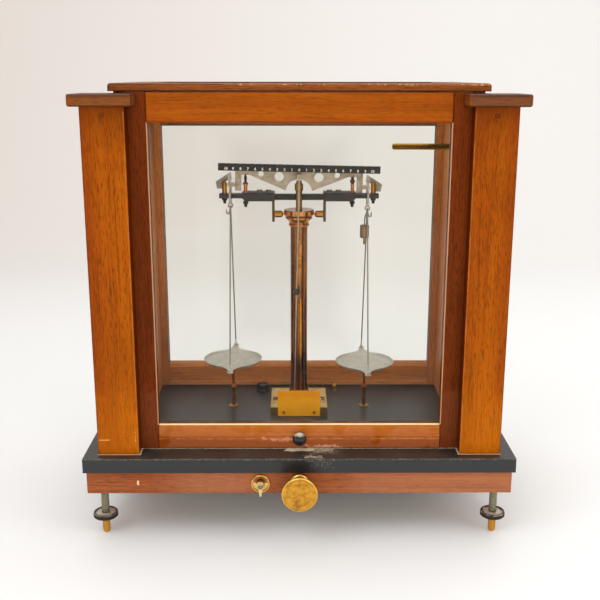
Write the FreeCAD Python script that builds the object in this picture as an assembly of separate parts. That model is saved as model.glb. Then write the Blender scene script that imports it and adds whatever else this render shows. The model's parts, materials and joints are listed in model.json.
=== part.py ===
"""Knife-edge prescription balance in a glazed case with a counterpoised front sash.

Millimetres, +Z up, the front faces -Y and +X is to the right of someone who faces it.
The origin is on the surface that the feet stand on, under the middle of the bounding box.
"""
import FreeCAD, Part
import math
import os

V = FreeCAD.Vector
UP = V(0, 0, 1)
BACK = V(0, 1, 0)
RIGHT = V(1, 0, 0)

# ---------------------------------------------------------------- clearances and fits
RUNNING_FIT = 0.05          # radial play of a shaft in its bore
CLEAR = 0.3                 # play between parts that slide past each other
KNIFE_GAP = 0.05            # between a knife edge and its agate plane
PANE_PLAY = 0.02            # between a pane and its groove

# ---------------------------------------------------------------- base
SLAB_WIDTH = 440.0
SLAB_DEPTH = 265.0
SLAB_THICK = 15.0
APRON_INSET = 3.0           # apron face behind the slab edge
APRON_HEIGHT = 24.0
APRON_THICK = 15.0
CORNER_BLOCK = 34.0
FOOT_DROP = 53.0            # underside of the apron above the ground
KNOB_REACH = 26.0           # arrestment knob face in front of the slab

# ---------------------------------------------------------------- feet
FOOT_INSET = 16.0           # foot axis inside the slab's end
FOOT_SETBACK = 23.0
FOOT_STEM_R = 4.0
FOOT_STEM_UP = 19.0         # length of stem inside the apron
FOOT_BUSH_R = 5.6
FOOT_BUSH_DROP = 5.0        # bush that shows under the apron
FOOT_DISC_R = 12.8
FOOT_DISC_THICK = 5.4
FOOT_DISC_RIM = 2.0         # raised rim round the dished top
FOOT_DISC_DISH = 1.2
FOOT_TIP_R = 3.9
FOOT_TIP_HEIGHT = 18.0
REAR_FOOT_SETBACK = 22.0    # rear foot axis in front of the slab's back edge
REAR_FOOT_R = 9.0

# ---------------------------------------------------------------- front columns and caps
COLUMN_INNER = 164.0        # centre line to a column's inner face
COLUMN_WIDTH = 42.0
COLUMN_SETBACK = 12.5
COLUMN_DEPTH = 46.0
COLUMN_HEIGHT = 348.5
FRONT_BOARD = 8.5
BACK_BOARD = 11.5
OUTER_BOARD = 4.8
GROOVE_DEPTH = 4.6          # sash groove in the column's inner face
PARTING_THICK = 2.0         # strip between the groove and the weight pocket
CORD_SLOT = 4.4
PLUG_R = 2.6
PLUG_DROP = 8.0             # plug centre below the column's head
CAP_THICK = 11.5
CAP_OVERHANG = 10.0
CAP_CORNER = 6.0            # rounding of the outer corners, seen from above
CAP_ROUND = 2.2             # rounding of the upper and lower edges
CAP_LAP = 8.0               # cap's inner end past the column's inner face

# ---------------------------------------------------------------- rising sash
SASH_SETBACK = 15.5         # sash face behind the column face
SASH_THICK = 12.0
SASH_HEIGHT = 361.0
STILE_WIDTH = 22.5
TOP_RAIL = 28.0
BOTTOM_RAIL = 26.0
BOTTOM_BEAD = 15.5          # height of the thicker lower part of the bottom rail
PANE_THICK = 2.0
PANE_LAP = 3.5              # pane edge held in its groove
SASH_KNOB_R = 7.2
SASH_KNOB_REACH = 12.0
SASH_KNOB_NECK_R = 3.0

# ---------------------------------------------------------------- sash counterpoise
CORD_R = 0.8
PULLEY_R = 8.0              # to the middle of the cord
PULLEY_RIM = 1.6
PULLEY_WIDTH = 6.0
PULLEY_PIN_R = 1.5
PULLEY_DROP = 17.0          # pulley centre below the column's head
WEIGHT_R = 10.0
WEIGHT_LENGTH = 72.0
WEIGHT_HANG = 32.0          # weight's head below the pulley centre, sash down
LUG_HEIGHT = 34.0           # cord lug above the sash's foot
LUG_TALL = 9.0
LUG_THICK = 3.2

# ---------------------------------------------------------------- glazed carcass and lid
SIDE_INNER = 170.0
SIDE_THICK = 12.0
CARCASS_HEIGHT = 362.0
SIDE_FRONT_STILE = 27.5
SIDE_REAR_STILE = 57.0
REAR_SETBACK = 225.0        # face of the rear frame behind the slab edge
REAR_THICK = 13.5
REAR_STILE = 8.5
RAIL_LOW = 28.0
RAIL_HIGH = 42.5
LID_OVERHANG = 2.0
LID_THICK = 7.6
LID_RAIL = 34.0
LID_ROUND = 3.0

# ---------------------------------------------------------------- pillar group
BALANCE_SETBACK = 152.0     # plane of the beam behind the slab edge
BLOCK_WIDTH = 64.6
BLOCK_DEPTH = 64.6
BLOCK_HEIGHT = 10.8
BLOCK_SCREW_INSET = 5.8
PLATE_WIDTH = 48.0
PLATE_HEIGHT = 30.0
PLATE_THICK = 1.5
PLATE_SCREW_X = 17.2
PLATE_SCREW_RISE = 4.3
TUBE_R = 9.5
TUBE_WALL = 1.8
TUBE_FOOT_R = 15.5
CAPITAL_R = 16.9
CAPITAL_DROP = 32.0         # capital's top below the knife edge
CAPITAL_RIM = 6.0
POST_R = 3.55
POST_HEAD_R = 4.85
POST_SPIGOT_R = 2.4
AGATE_HEIGHT = 2.4
LEVEL_R = 8.0
LEVEL_HEIGHT = 9.0
LEVEL_X = 44.0
LEVEL_SETBACK = 204.0
STUD_BALL_R = 3.1
STUD_NECK = 3.4

# ---------------------------------------------------------------- beam
BEAM_HALF = 76.2            # centre knife to an end knife: a 6 in beam
KNIFE_HEIGHT = 264.0        # centre edge above the slab
BEAM_REST_TILT = 1.2        # degrees, right end down, at rest on its stop
TRUSS_THICK = 4.0
RIDER_BAR_OUT = 12.8        # bar past the end knife
RIDER_BAR_LOW = 9.9         # bar's lower edge above the knife edge
RIDER_BAR_HEIGHT = 7.9
RIDER_BAR_THICK = 3.5
RIDER_BAR_LAP = 1.0         # truss's head below the bar's
RIDER_END = 8.5             # last notch to the bar's end
NOTCH_WIDE = 0.7
NOTCH_DEEP = 0.5
LEG_INSET = 5.8             # leg's outer face inside the end knife
LEG_WIDTH = 6.7
LEG_DROP = 12.2             # leg's foot below the knife edge
ARCH_HALF = 14.5
ARCH_TOP = 1.6              # arch crown above the knife edge
ARCH_FOOT = 11.0            # arch feet below the knife edge
NOTCH_INSET = 21.5          # end knife to where the truss's lower edge starts to slope
NOTCH_TOP = 5.4
BIG_HOLE_X = 21.9
BIG_HOLE_R = 5.1
BIG_HOLE_RISE = 3.9         # hole's centre above the knife edge
SMALL_HOLE_X = 42.0
SMALL_HOLE_R = 3.0
SMALL_HOLE_RISE = 6.7
KNIFE_WIDE = 4.4
KNIFE_TALL = 4.0
KNIFE_LENGTH = 15.0
KNIFE_BLOCK_HALF = 4.5      # half width of the block that holds an end knife
KNIFE_BLOCK_TALL = 3.6
KNIFE_BLOCK_OUT = 2.4       # block past the knife edge
POINTER_AHEAD = 19.0        # pointer in front of the beam plane
POINTER_FOOT = 27.0         # pointer tip above the slab
POINTER_TOP_R = 1.0
POINTER_TIP_R = 0.45
POINTER_ARM_WIDE = 4.8
POINTER_ARM_TALL = 4.0
BOB_R = 3.9
BOB_FLAT = 0.5
BOB_HEIGHT = 142.6
BOB_TRAVEL = 12.0

# ---------------------------------------------------------------- arrestment
LIFT = 2.5
ARM_INNER = 27.0
ARM_STEP_INSET = 13.6       # end knife to where the arm steps down
ARM_OUT = 11.8              # arm past the end knife
ARM_DROP = 22.0             # arm's underside below the knife edge
ARM_DEPTH = 9.8
ARM_TIP_RISE = 3.3          # tip's underside above the arm's
ARM_TIP_DEPTH = 4.6
ARM_FRONT = 7.5             # arm in front of the beam plane
ARM_BACK = 10.5
ARM_TIP_BACK = 5.0
BAR_HALF = 45.0
BAR_DEPTH = 6.5
BAR_FRONT = 3.9             # centre bar's face behind the beam plane
SCREW_X = (34.0, 44.0)
SCREW_R = 2.9
SCREW_HEAD = 1.5
PIN_INSET = 17.4            # pin inside the end knife
PIN_R = 1.7
LEFT_PIN_RISE = 7.9         # pin's head above the knife edge
RIGHT_PIN_RISE = 4.9
SUPPORT_OUT = 6.2           # support outside the end knife
SUPPORT_R = 2.8
SUPPORT_DROP = 0.4          # support's point below the knife edge
GUIDE_WIDTH = 2.9
GUIDE_TAIL = 8.3            # guide bar's end below its stud
STUD_R = 3.85
STUD_DROP = 15.0            # stud below the arm's underside
ROD_BACK = 5.6              # push rod behind the pillar's axis
ROD_R = 1.5
DRIVE_DROP = 27.5           # both drive shafts below the slab's top
SHAFT_R = 3.0
LIFT_CAM_R = 7.0
LIFT_TURN = 90.0
CAM_THICK = 5.0
KNOB_R = 18.0
KNOB_THICK = 4.5
COLLAR_R = 10.8
BRACKET_WIDTH = 16.0
BRACKET_THICK = 8.0
BRACKET_DIP = 6.0           # block below the shaft's axis

# ---------------------------------------------------------------- pan brakes
LEVER_X = -39.8
LEVER_SHAFT_R = 2.5
RING_R = 9.8
RING_RIM = 2.0              # width of the raised bead round the escutcheon
RING_THICK = 2.6            # bead's crest in front of the apron
RING_DISH = 1.3             # dished face in front of the apron
RING_SCREW_X = 6.1
RING_SCREW_R = 1.4
BOSS_R = 4.4
FINGER_LENGTH = 12.4
FINGER_WIDTH = 6.4
BRAKE_LIFT = 2.5
BRAKE_CAM_R = 6.0
BRAKE_TURN = 80.0
YOKE_THICK = 2.5
YOKE_DIP = 16.0
BRAKE_ROD_R = 2.0
BRAKE_PAD_R = 5.5

# ---------------------------------------------------------------- hangers and pans
PAN_R = 33.6
PAN_HEIGHT = 57.0           # rim above the slab with the beam level
PAN_DEPTH = 4.0
PAN_WALL = 0.9
EAR_REACH = 54.6
EAR_ROOT = 12.0
EAR_RING_R = 3.0
EAR_HOLE_R = 1.3
WIRE_R = 0.8
CROWN_HALF = 2.2            # half length of the bail's level part
BEAD_R = 2.0
PAN_SWING = 4.0             # degrees either way
BOW_HALF = 9.5
BOW_WIDTH = 2.0
BOW_THICK = 1.5
BOW_FOOT = -26.5            # bow's foot relative to the knife edge
BOW_TIP = 7.2
EYE_R = 2.4                 # middle radius of the hook's eye
EYE_PLAY = 0.1              # between the pan's wires and the eye they hang on
HOOK_DROP = 8.0
TARE_DROP = 49.4            # weight's top below the knife edge
TARE_OFFSET = 2.8           # weight's axis inboard of the wires
WEIGHT_TARE_R = 5.1
WEIGHT_TARE_LENGTH = 14.4

# ---------------------------------------------------------------- rider carrier
CARRIER_DROP = 32.8         # rod below the head of the side window
CARRIER_R = 3.4
CARRIER_INNER_END = 102.0
CARRIER_OUTER_END = 216.0
CARRIER_KNOB_R = 8.0
CARRIER_KNOB_WIDE = 9.0
CARRIER_BUSH_R = 7.0
CARRIER_BUSH_FLANGE = 2.0

# ---------------------------------------------------------------- places worked out from them
FRONT = (KNOB_REACH - SLAB_DEPTH) / 2.0     # slab's front edge
REAR = FRONT + SLAB_DEPTH                   # slab's back edge
TOP = FOOT_DROP + APRON_HEIGHT + SLAB_THICK  # slab's top face
APRON_TOP = TOP - SLAB_THICK
COLUMN_FRONT = FRONT + COLUMN_SETBACK
COLUMN_BACK = COLUMN_FRONT + COLUMN_DEPTH
COLUMN_HEAD = TOP + COLUMN_HEIGHT
SASH_FRONT = COLUMN_FRONT + SASH_SETBACK
SASH_BACK = SASH_FRONT + SASH_THICK
SASH_MID = (SASH_FRONT + SASH_BACK) / 2.0
SASH_FOOT = TOP
SASH_HEAD = SASH_FOOT + SASH_HEIGHT
SASH_EDGE = COLUMN_INNER + GROOVE_DEPTH - 0.5
SASH_OPENING = SASH_EDGE - STILE_WIDTH
CARCASS_TOP = TOP + CARCASS_HEIGHT
REAR_FACE = FRONT + REAR_SETBACK
CARCASS_BACK = REAR_FACE + REAR_THICK
BEAM_Y = FRONT + BALANCE_SETBACK
KNIFE_Z = TOP + KNIFE_HEIGHT
LEG_OUTER = BEAM_HALF - LEG_INSET
RIDER_BAR_HALF = BEAM_HALF + RIDER_BAR_OUT
NOTCH_X = BEAM_HALF - NOTCH_INSET
ARM_STEP = BEAM_HALF - ARM_STEP_INSET
ARM_OUTER = BEAM_HALF + ARM_OUT
PIN_X = BEAM_HALF - PIN_INSET
SUPPORT_X = BEAM_HALF + SUPPORT_OUT
CAPITAL_TOP = KNIFE_Z - CAPITAL_DROP
ARM_LOW = KNIFE_Z - ARM_DROP
ARM_TOP = ARM_LOW + ARM_DEPTH
ARM_TIP_LOW = ARM_LOW + ARM_TIP_RISE
ARM_TIP_TOP = ARM_TIP_LOW + ARM_TIP_DEPTH
BAR_TOP = ARM_LOW + BAR_DEPTH
LEFT_PIN_TOP = KNIFE_Z + LEFT_PIN_RISE
RIGHT_PIN_TOP = KNIFE_Z + RIGHT_PIN_RISE
SUPPORT_TOP = KNIFE_Z - SUPPORT_DROP
STUD_Z = ARM_LOW - STUD_DROP
GUIDE_FOOT = STUD_Z - GUIDE_TAIL
TARE_TOP = KNIFE_Z - TARE_DROP
CARRIER_Z = CARCASS_TOP - RAIL_LOW - CARRIER_DROP
DRIVE_Z = TOP - DRIVE_DROP
APRON_FACE = FRONT + APRON_INSET
FOOT_X = SLAB_WIDTH / 2.0 - FOOT_INSET
POCKET_FRONT = COLUMN_FRONT + FRONT_BOARD
POCKET_BACK = COLUMN_BACK - BACK_BOARD
POCKET_INNER = COLUMN_INNER + GROOVE_DEPTH + PARTING_THICK
LUG_X = POCKET_INNER + CORD_R + 2.0
PULLEY_X = LUG_X + PULLEY_R
PULLEY_Z = COLUMN_HEAD - PULLEY_DROP
WEIGHT_HEAD = PULLEY_Z - WEIGHT_HANG
LUG_Z = SASH_FOOT + LUG_HEIGHT


# ---------------------------------------------------------------- small makers
def box(x0, x1, y0, y1, z0, z1):
    """A block between two corners."""
    return Part.makeBox(x1 - x0, y1 - y0, z1 - z0, V(x0, y0, z0))


def rod(start, end, radius):
    """A round bar from one point to another."""
    run = end.sub(start)
    return Part.makeCylinder(radius, run.Length, start, run)


def path(points):
    """A wire through points; an entry (mid, end) is an arc to end by way of mid."""
    edges = []
    last = points[0]
    for entry in points[1:]:
        if isinstance(entry, tuple):
            edges.append(Part.Arc(last, entry[0], entry[1]).toShape())
            last = entry[1]
        else:
            edges.append(Part.makeLine(last, entry))
            last = entry
    return Part.Wire(edges)


def turned(profile, base, axis):
    """A turned solid: profile entries (radius, height along the axis), closed to the axis."""
    side = V(0, 0, 1) if abs(axis.z) < 0.5 else V(1, 0, 0)

    def place(entry):
        return base.add(side * entry[0]).add(axis * entry[1])

    points = [place((0.0, first_height(profile)))]
    for entry in profile:
        if len(entry) == 2 and isinstance(entry[0], tuple):
            points.append((place(entry[0]), place(entry[1])))
        else:
            points.append(place(entry))
    last = profile[-1]
    end = last[1] if isinstance(last[0], tuple) else last
    if end[0] > 1e-6:
        points.append(place((0.0, end[1])))
    points.append(points[0])
    return Part.Face(path(points)).revolve(base, axis, 360.0)


def first_height(profile):
    """Height at which a turned profile starts."""
    first = profile[0]
    return first[0][1] if isinstance(first[0], tuple) else first[1]


def slab_of(outline, push):
    """A solid pushed out of a closed outline."""
    return Part.Face(path(outline)).extrude(push)


def mirrored(shape):
    """The left-hand twin of a right-hand part."""
    return shape.mirror(V(0, 0, 0), RIGHT)


def both(shape):
    """A part and its twin, as one group."""
    return Part.makeCompound([shape, mirrored(shape)])


def group(shapes):
    """Separate solids kept together in one node."""
    return Part.makeCompound(list(shapes))


def edges_along(shape, axis, test):
    """Straight edges parallel to an axis whose middle point passes a test."""
    found = []
    for edge in shape.Edges:
        if edge.Curve.TypeId != "Part::GeomLine":
            continue
        run = edge.Vertexes[-1].Point.sub(edge.Vertexes[0].Point)
        if run.Length < 1e-6 or abs(abs(run.normalize().dot(axis)) - 1.0) > 1e-6:
            continue
        if test(edge.CenterOfMass):
            found.append(edge)
    return found


def softened(shape, radius, axis, test):
    """Edges along an axis rounded over, where a test picks them."""
    return shape.makeFillet(radius, edges_along(shape, axis, test))


def placed(shape, centre, axis):
    """A shape made at the origin along +Z, stood on a point along an axis."""
    moved = shape.copy()
    moved.Placement = FreeCAD.Placement(centre, FreeCAD.Rotation(UP, axis))
    return moved


def cheese_screw(centre, radius, height, axis):
    """A slotted screw head standing on a surface."""
    head = Part.makeCylinder(radius, height)
    slot = Part.makeBox(radius * 0.3, 2.4 * radius, height, V(-radius * 0.15, -1.2 * radius, height * 0.5))
    return placed(head.cut(slot), centre, axis)


def dome(radius, start, end):
    """Profile entry for a spherical cap from a radius at one height to the axis at another."""
    rise = end - start
    ball = (radius ** 2 + rise ** 2) / (2.0 * rise)
    half = math.asin(min(radius / ball, 1.0)) / 2.0
    return ((ball * math.sin(half), end - ball + ball * math.cos(half)), (0.0, end))


# ---------------------------------------------------------------- base
def base_slab():
    """Black slab that carries the case, bored for the push rod and the brake stems."""
    half = SLAB_WIDTH / 2.0
    body = box(-half, half, FRONT, REAR, APRON_TOP, TOP)
    body = body.makeChamfer(0.8, edges_along(body, RIGHT, lambda p: p.z > TOP - 1.0))
    body = body.cut(rod(V(0, BEAM_Y + ROD_BACK, APRON_TOP - 1), V(0, BEAM_Y + ROD_BACK, TOP + 1),
                        ROD_R + 4 * RUNNING_FIT))
    for side in (-1, 1):
        stem = V(side * BEAM_HALF, BEAM_Y, APRON_TOP - 1)
        body = body.cut(rod(stem, stem.add(UP * (SLAB_THICK + 2)), bush_r()))
    return body


def bush_r():
    """Outside radius of a brake-stem bush."""
    return BRAKE_ROD_R + 1.6


def apron_edges():
    """Half width, back face and underside of the apron."""
    return SLAB_WIDTH / 2.0 - APRON_INSET, REAR - APRON_INSET, APRON_TOP - APRON_HEIGHT


def foot_bore():
    """Clearance holes for both foot screws."""
    low = apron_edges()[2]
    start = V(FOOT_X, FRONT + FOOT_SETBACK, low - 1)
    return both(rod(start, start.add(UP * (FOOT_STEM_UP + 1.5)), FOOT_STEM_R + RUNNING_FIT))


def apron_front_rail():
    """Front rail of the apron, bored for the two drive shafts."""
    half, _, low = apron_edges()
    rail = box(-half, half, APRON_FACE, APRON_FACE + APRON_THICK, low, APRON_TOP)
    rail = softened(rail, 1.2, RIGHT, lambda p: p.z < low + 1 and p.y < APRON_FACE + 1)
    for x, radius in ((0.0, SHAFT_R + 2.0), (LEVER_X, LEVER_SHAFT_R + 1.5)):
        start = V(x, APRON_FACE - 1, DRIVE_Z)
        rail = rail.cut(rod(start, start.add(BACK * (APRON_THICK + 2)), radius))
    return rail.cut(foot_bore())


def apron_back_rail():
    """Back rail of the apron."""
    half, back, low = apron_edges()
    return box(-half, half, back - APRON_THICK, back, low, APRON_TOP)


def apron_side_rails():
    """The two side rails, between the front and back rails."""
    half, back, low = apron_edges()
    rail = box(half - APRON_THICK, half, APRON_FACE + APRON_THICK, back - APRON_THICK, low, APRON_TOP)
    return group(solid.cut(foot_bore()) for solid in both(rail).Solids)


def corner_blocks():
    """Glued blocks behind the front corners that the foot screws thread through."""
    half, _, low = apron_edges()
    outer = half - APRON_THICK
    front = APRON_FACE + APRON_THICK
    block = box(outer - CORNER_BLOCK, outer, front, front + CORNER_BLOCK, low, APRON_TOP)
    return group(solid.cut(foot_bore()) for solid in both(block).Solids)


def foot_screw():
    """Right-hand levelling screw: threaded stem with its knurled disc."""
    centre = V(FOOT_X, FRONT + FOOT_SETBACK, 0)
    low = apron_edges()[2]
    profile = [(FOOT_TIP_R - 0.8, FOOT_TIP_HEIGHT), (FOOT_DISC_R - 0.9, FOOT_TIP_HEIGHT),
               (FOOT_DISC_R, FOOT_TIP_HEIGHT + 0.9),
               (FOOT_DISC_R, FOOT_TIP_HEIGHT + FOOT_DISC_THICK - 0.9),
               (FOOT_DISC_R - 0.9, FOOT_TIP_HEIGHT + FOOT_DISC_THICK),
               (FOOT_DISC_R - FOOT_DISC_RIM, FOOT_TIP_HEIGHT + FOOT_DISC_THICK),
               (FOOT_DISC_R - FOOT_DISC_RIM, FOOT_TIP_HEIGHT + FOOT_DISC_THICK - FOOT_DISC_DISH),
               (FOOT_STEM_R, FOOT_TIP_HEIGHT + FOOT_DISC_THICK - FOOT_DISC_DISH),
               (FOOT_STEM_R, low + FOOT_STEM_UP)]
    screw = turned(profile, centre, UP)
    notch = rod(V(FOOT_DISC_R + 0.2, 0, FOOT_TIP_HEIGHT - 1),
                V(FOOT_DISC_R + 0.2, 0, FOOT_TIP_HEIGHT + FOOT_DISC_THICK + 1), 0.6)
    notches = []
    count = 36
    for index in range(count):
        cut = notch.copy()
        cut.rotate(V(0, 0, 0), UP, index * 360.0 / count)
        cut.translate(centre)
        notches.append(cut)
    return screw.cut(notches)


def foot_bushes():
    """Brass bushes under the apron that the levelling screws turn in."""
    low = apron_edges()[2]
    centre = V(FOOT_X, FRONT + FOOT_SETBACK, low)
    body = turned([(FOOT_BUSH_R - 0.5, -FOOT_BUSH_DROP), (FOOT_BUSH_R, 0.5 - FOOT_BUSH_DROP),
                   (FOOT_BUSH_R, 0.0)], centre, UP)
    start = centre.sub(UP * (FOOT_BUSH_DROP + 1))
    return both(body.cut(rod(start, start.add(UP * (FOOT_BUSH_DROP + 2)), FOOT_STEM_R + RUNNING_FIT)))


def foot_tip():
    """Brass tip under the right-hand levelling disc; it stands on the ground."""
    centre = V(FOOT_X, FRONT + FOOT_SETBACK, 0)
    return turned([(FOOT_TIP_R - 1.6, 0.0), (FOOT_TIP_R - 0.6, 1.2), (FOOT_TIP_R, 4.0),
                   (FOOT_TIP_R, FOOT_TIP_HEIGHT - 1.0), (FOOT_TIP_R - 0.8, FOOT_TIP_HEIGHT)],
                  centre, UP)


def rear_foot():
    """Fixed turned foot under the middle of the back rail."""
    centre = V(0, REAR - REAR_FOOT_SETBACK, 0)
    low = apron_edges()[2]
    body = turned([(REAR_FOOT_R - 2.0, 0.0), ((REAR_FOOT_R, 4.0), (REAR_FOOT_R - 1.5, 9.0)),
                   (REAR_FOOT_R - 3.5, 14.0), (REAR_FOOT_R - 1.0, low - 6.0),
                   (REAR_FOOT_R + 3.0, low - 3.0), (REAR_FOOT_R + 3.0, low)], centre, UP)
    return body


def rear_foot_block():
    """Block inside the back rail that the fixed foot is screwed to."""
    _, back, low = apron_edges()
    inner = back - APRON_THICK
    return box(-CORNER_BLOCK, CORNER_BLOCK, inner - CORNER_BLOCK / 2.0, inner, low, APRON_TOP)


# ---------------------------------------------------------------- columns
def column_boards():
    """Front, back and outer boards of the right-hand column."""
    outer = COLUMN_INNER + COLUMN_WIDTH
    front = box(COLUMN_INNER, outer, COLUMN_FRONT, POCKET_FRONT, TOP, COLUMN_HEAD)
    front = softened(front, 0.8, UP, lambda p: p.y < COLUMN_FRONT + 1)
    plug = V(COLUMN_INNER + COLUMN_WIDTH / 2.0, COLUMN_FRONT - 1, COLUMN_HEAD - PLUG_DROP)
    front = front.cut(rod(plug, plug.add(BACK * 4.0), PLUG_R))
    back = box(COLUMN_INNER, outer, POCKET_BACK, COLUMN_BACK, TOP, COLUMN_HEAD)
    side = box(outer - OUTER_BOARD, outer, POCKET_FRONT, POCKET_BACK, TOP, COLUMN_HEAD)
    pin = pulley_pin()
    return group([front.cut(pin), back.cut(pin), side])


def column_linings():
    """Strips on the right-hand column's inner side that form the sash groove and cord slot."""
    groove = SASH_THICK / 2.0 + CLEAR
    face = COLUMN_INNER
    bottom = COLUMN_INNER + GROOVE_DEPTH
    return group([
        box(face, bottom, POCKET_FRONT, SASH_MID - groove, TOP, COLUMN_HEAD),
        box(face, bottom, SASH_MID + groove, POCKET_BACK, TOP, COLUMN_HEAD),
        box(bottom, POCKET_INNER, POCKET_FRONT, SASH_MID - CORD_SLOT / 2.0, TOP, COLUMN_HEAD),
        box(bottom, POCKET_INNER, SASH_MID + CORD_SLOT / 2.0, POCKET_BACK, TOP, COLUMN_HEAD)])


def column_plug():
    """Round plug near the head of the right-hand column, let in below the surface."""
    start = V(COLUMN_INNER + COLUMN_WIDTH / 2.0, COLUMN_FRONT + 0.4, COLUMN_HEAD - PLUG_DROP)
    return rod(start, start.add(BACK * 2.6), PLUG_R)


def column_cap():
    """Moulded cap on the right-hand column, notched where the sash and the carcass pass."""
    outer = COLUMN_INNER + COLUMN_WIDTH + CAP_OVERHANG
    inner = COLUMN_INNER - CAP_LAP
    front = COLUMN_FRONT - CAP_OVERHANG
    back = COLUMN_BACK + CAP_OVERHANG / 2.0
    head = COLUMN_HEAD + CAP_THICK
    cap = box(inner, outer, front, back, COLUMN_HEAD, head)
    cap = softened(cap, CAP_CORNER, UP, lambda p: p.x > outer - 1)
    rims = [edge for edge in cap.Edges
            if abs(edge.CenterOfMass.z - (COLUMN_HEAD + head) / 2.0) > CAP_THICK / 2.0 - 0.01
            and edge.CenterOfMass.x > inner + 1]
    cap = cap.makeFillet(CAP_ROUND, rims)
    sash_way = box(inner - 1, SASH_EDGE + CLEAR, SASH_FRONT - CLEAR, back + 1, COLUMN_HEAD - 1, head + 1)
    carcass_way = box(inner - 1, SIDE_INNER + SIDE_THICK + LID_OVERHANG + CLEAR, COLUMN_BACK, back + 1,
                      COLUMN_HEAD - 1, head + 1)
    return cap.cut([sash_way, carcass_way])


# ---------------------------------------------------------------- sash
def sash_pane_box(extra):
    """Space of the sash pane, grown by extra for its groove."""
    half = SASH_OPENING + PANE_LAP + extra
    return box(-half, half, SASH_MID - PANE_THICK / 2.0 - extra, SASH_MID + PANE_THICK / 2.0 + extra,
               SASH_FOOT + BOTTOM_RAIL - PANE_LAP - extra, SASH_HEAD - TOP_RAIL + PANE_LAP + extra)


def sash_stiles():
    """The two uprights of the sash, chamfered beside the pane."""
    stile = box(SASH_OPENING, SASH_EDGE, SASH_FRONT, SASH_BACK, SASH_FOOT, SASH_HEAD)
    stile = stile.makeChamfer(1.6, edges_along(stile, UP, lambda p: p.x < SASH_OPENING + 1
                                               and p.y < SASH_FRONT + 1))
    stile = stile.cut(sash_pane_box(PANE_PLAY))
    return both(stile)


def sash_top_rail():
    """Top rail of the sash."""
    rail = box(-SASH_OPENING, SASH_OPENING, SASH_FRONT, SASH_BACK, SASH_HEAD - TOP_RAIL, SASH_HEAD)
    rail = rail.makeChamfer(1.6, edges_along(rail, RIGHT, lambda p: p.z < SASH_HEAD - TOP_RAIL + 1
                                             and p.y < SASH_FRONT + 1))
    return rail.cut(sash_pane_box(PANE_PLAY))


def sash_bottom_rail():
    """Bottom rail of the sash: a bead below, a hollow slope above up to the pane."""
    low = SASH_FOOT
    bead = low + BOTTOM_BEAD
    head = low + BOTTOM_RAIL
    front = SASH_FRONT
    x = -SASH_OPENING
    outline = [V(x, front + 0.8, low), V(x, front, low + 0.8), V(x, front, bead - 1.2),
               (V(x, front + 0.35, bead - 0.35), V(x, front + 1.2, bead)),
               (V(x, front + 1.9, head - 4.5), V(x, front + 3.2, head)),
               V(x, SASH_BACK, head), V(x, SASH_BACK, low), V(x, front + 0.8, low)]
    return slab_of(outline, RIGHT * (2 * SASH_OPENING)).cut(sash_pane_box(PANE_PLAY))


def sash_knob():
    """Turned knob on the bottom rail."""
    rise = SASH_FOOT + BOTTOM_RAIL / 2.0
    reach = SASH_KNOB_REACH
    return turned([(SASH_KNOB_NECK_R + 2.0, 0.0), (SASH_KNOB_NECK_R, 2.0), (SASH_KNOB_NECK_R, 4.0),
                   ((SASH_KNOB_R, reach * 0.62), (SASH_KNOB_R * 0.55, reach - 0.9)),
                   dome(SASH_KNOB_R * 0.55, reach - 0.9, reach)],
                  V(0, SASH_FRONT, rise), BACK * -1)


def sash_lugs():
    """Metal lugs on the stile edges that carry the cords into the weight pockets."""
    half = LUG_THICK / 2.0
    lug = box(SASH_EDGE, LUG_X + CORD_R + half / 2.0, SASH_MID - half, SASH_MID + half,
              LUG_Z - LUG_TALL, LUG_Z)
    return both(lug)


# ---------------------------------------------------------------- counterpoise
def pulley_pin():
    """Pin across the right-hand weight pocket."""
    start = V(PULLEY_X, POCKET_FRONT - 4.0, PULLEY_Z)
    return rod(start, V(PULLEY_X, POCKET_BACK + 5.0, PULLEY_Z), PULLEY_PIN_R)


def pulley():
    """Grooved pulley on the right-hand pin."""
    half = PULLEY_WIDTH / 2.0
    rim = PULLEY_R + PULLEY_RIM
    root = PULLEY_R - CORD_R
    wheel = turned([(rim, -half), (rim, -half + 0.9), ((root, 0.0), (rim, half - 0.9)), (rim, half)],
                   V(PULLEY_X, SASH_MID, PULLEY_Z), BACK)
    start = V(PULLEY_X, SASH_MID - half - 1, PULLEY_Z)
    return wheel.cut(rod(start, start.add(BACK * (PULLEY_WIDTH + 2)), PULLEY_PIN_R + RUNNING_FIT))


def pulley_washers():
    """Spacers that keep the right-hand pulley in line with the sash."""
    half = PULLEY_WIDTH / 2.0 + 0.1
    spacers = []
    for start, end in ((POCKET_FRONT, SASH_MID - half), (SASH_MID + half, POCKET_BACK)):
        tube = rod(V(PULLEY_X, start, PULLEY_Z), V(PULLEY_X, end, PULLEY_Z), PULLEY_PIN_R + 1.3)
        spacers.append(tube.cut(rod(V(PULLEY_X, start - 1, PULLEY_Z), V(PULLEY_X, end + 1, PULLEY_Z),
                                    PULLEY_PIN_R)))
    return group(spacers)


def sash_weight():
    """Lead counterweight in the right-hand column, with its eye."""
    x = PULLEY_X + PULLEY_R
    body = turned([(WEIGHT_R - 1.0, 0.0), (WEIGHT_R, 1.0), (WEIGHT_R, WEIGHT_LENGTH - 1.5),
                   (WEIGHT_R - 1.5, WEIGHT_LENGTH), (2.2, WEIGHT_LENGTH), (1.6, WEIGHT_LENGTH + 4.0)],
                  V(x, SASH_MID, WEIGHT_HEAD - WEIGHT_LENGTH), UP)
    return body


def sash_cord():
    """Sash-side run of the right-hand cord, from the lug to the pulley's centre height."""
    return rod(V(LUG_X, SASH_MID, LUG_Z), V(LUG_X, SASH_MID, PULLEY_Z), CORD_R)


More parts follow.
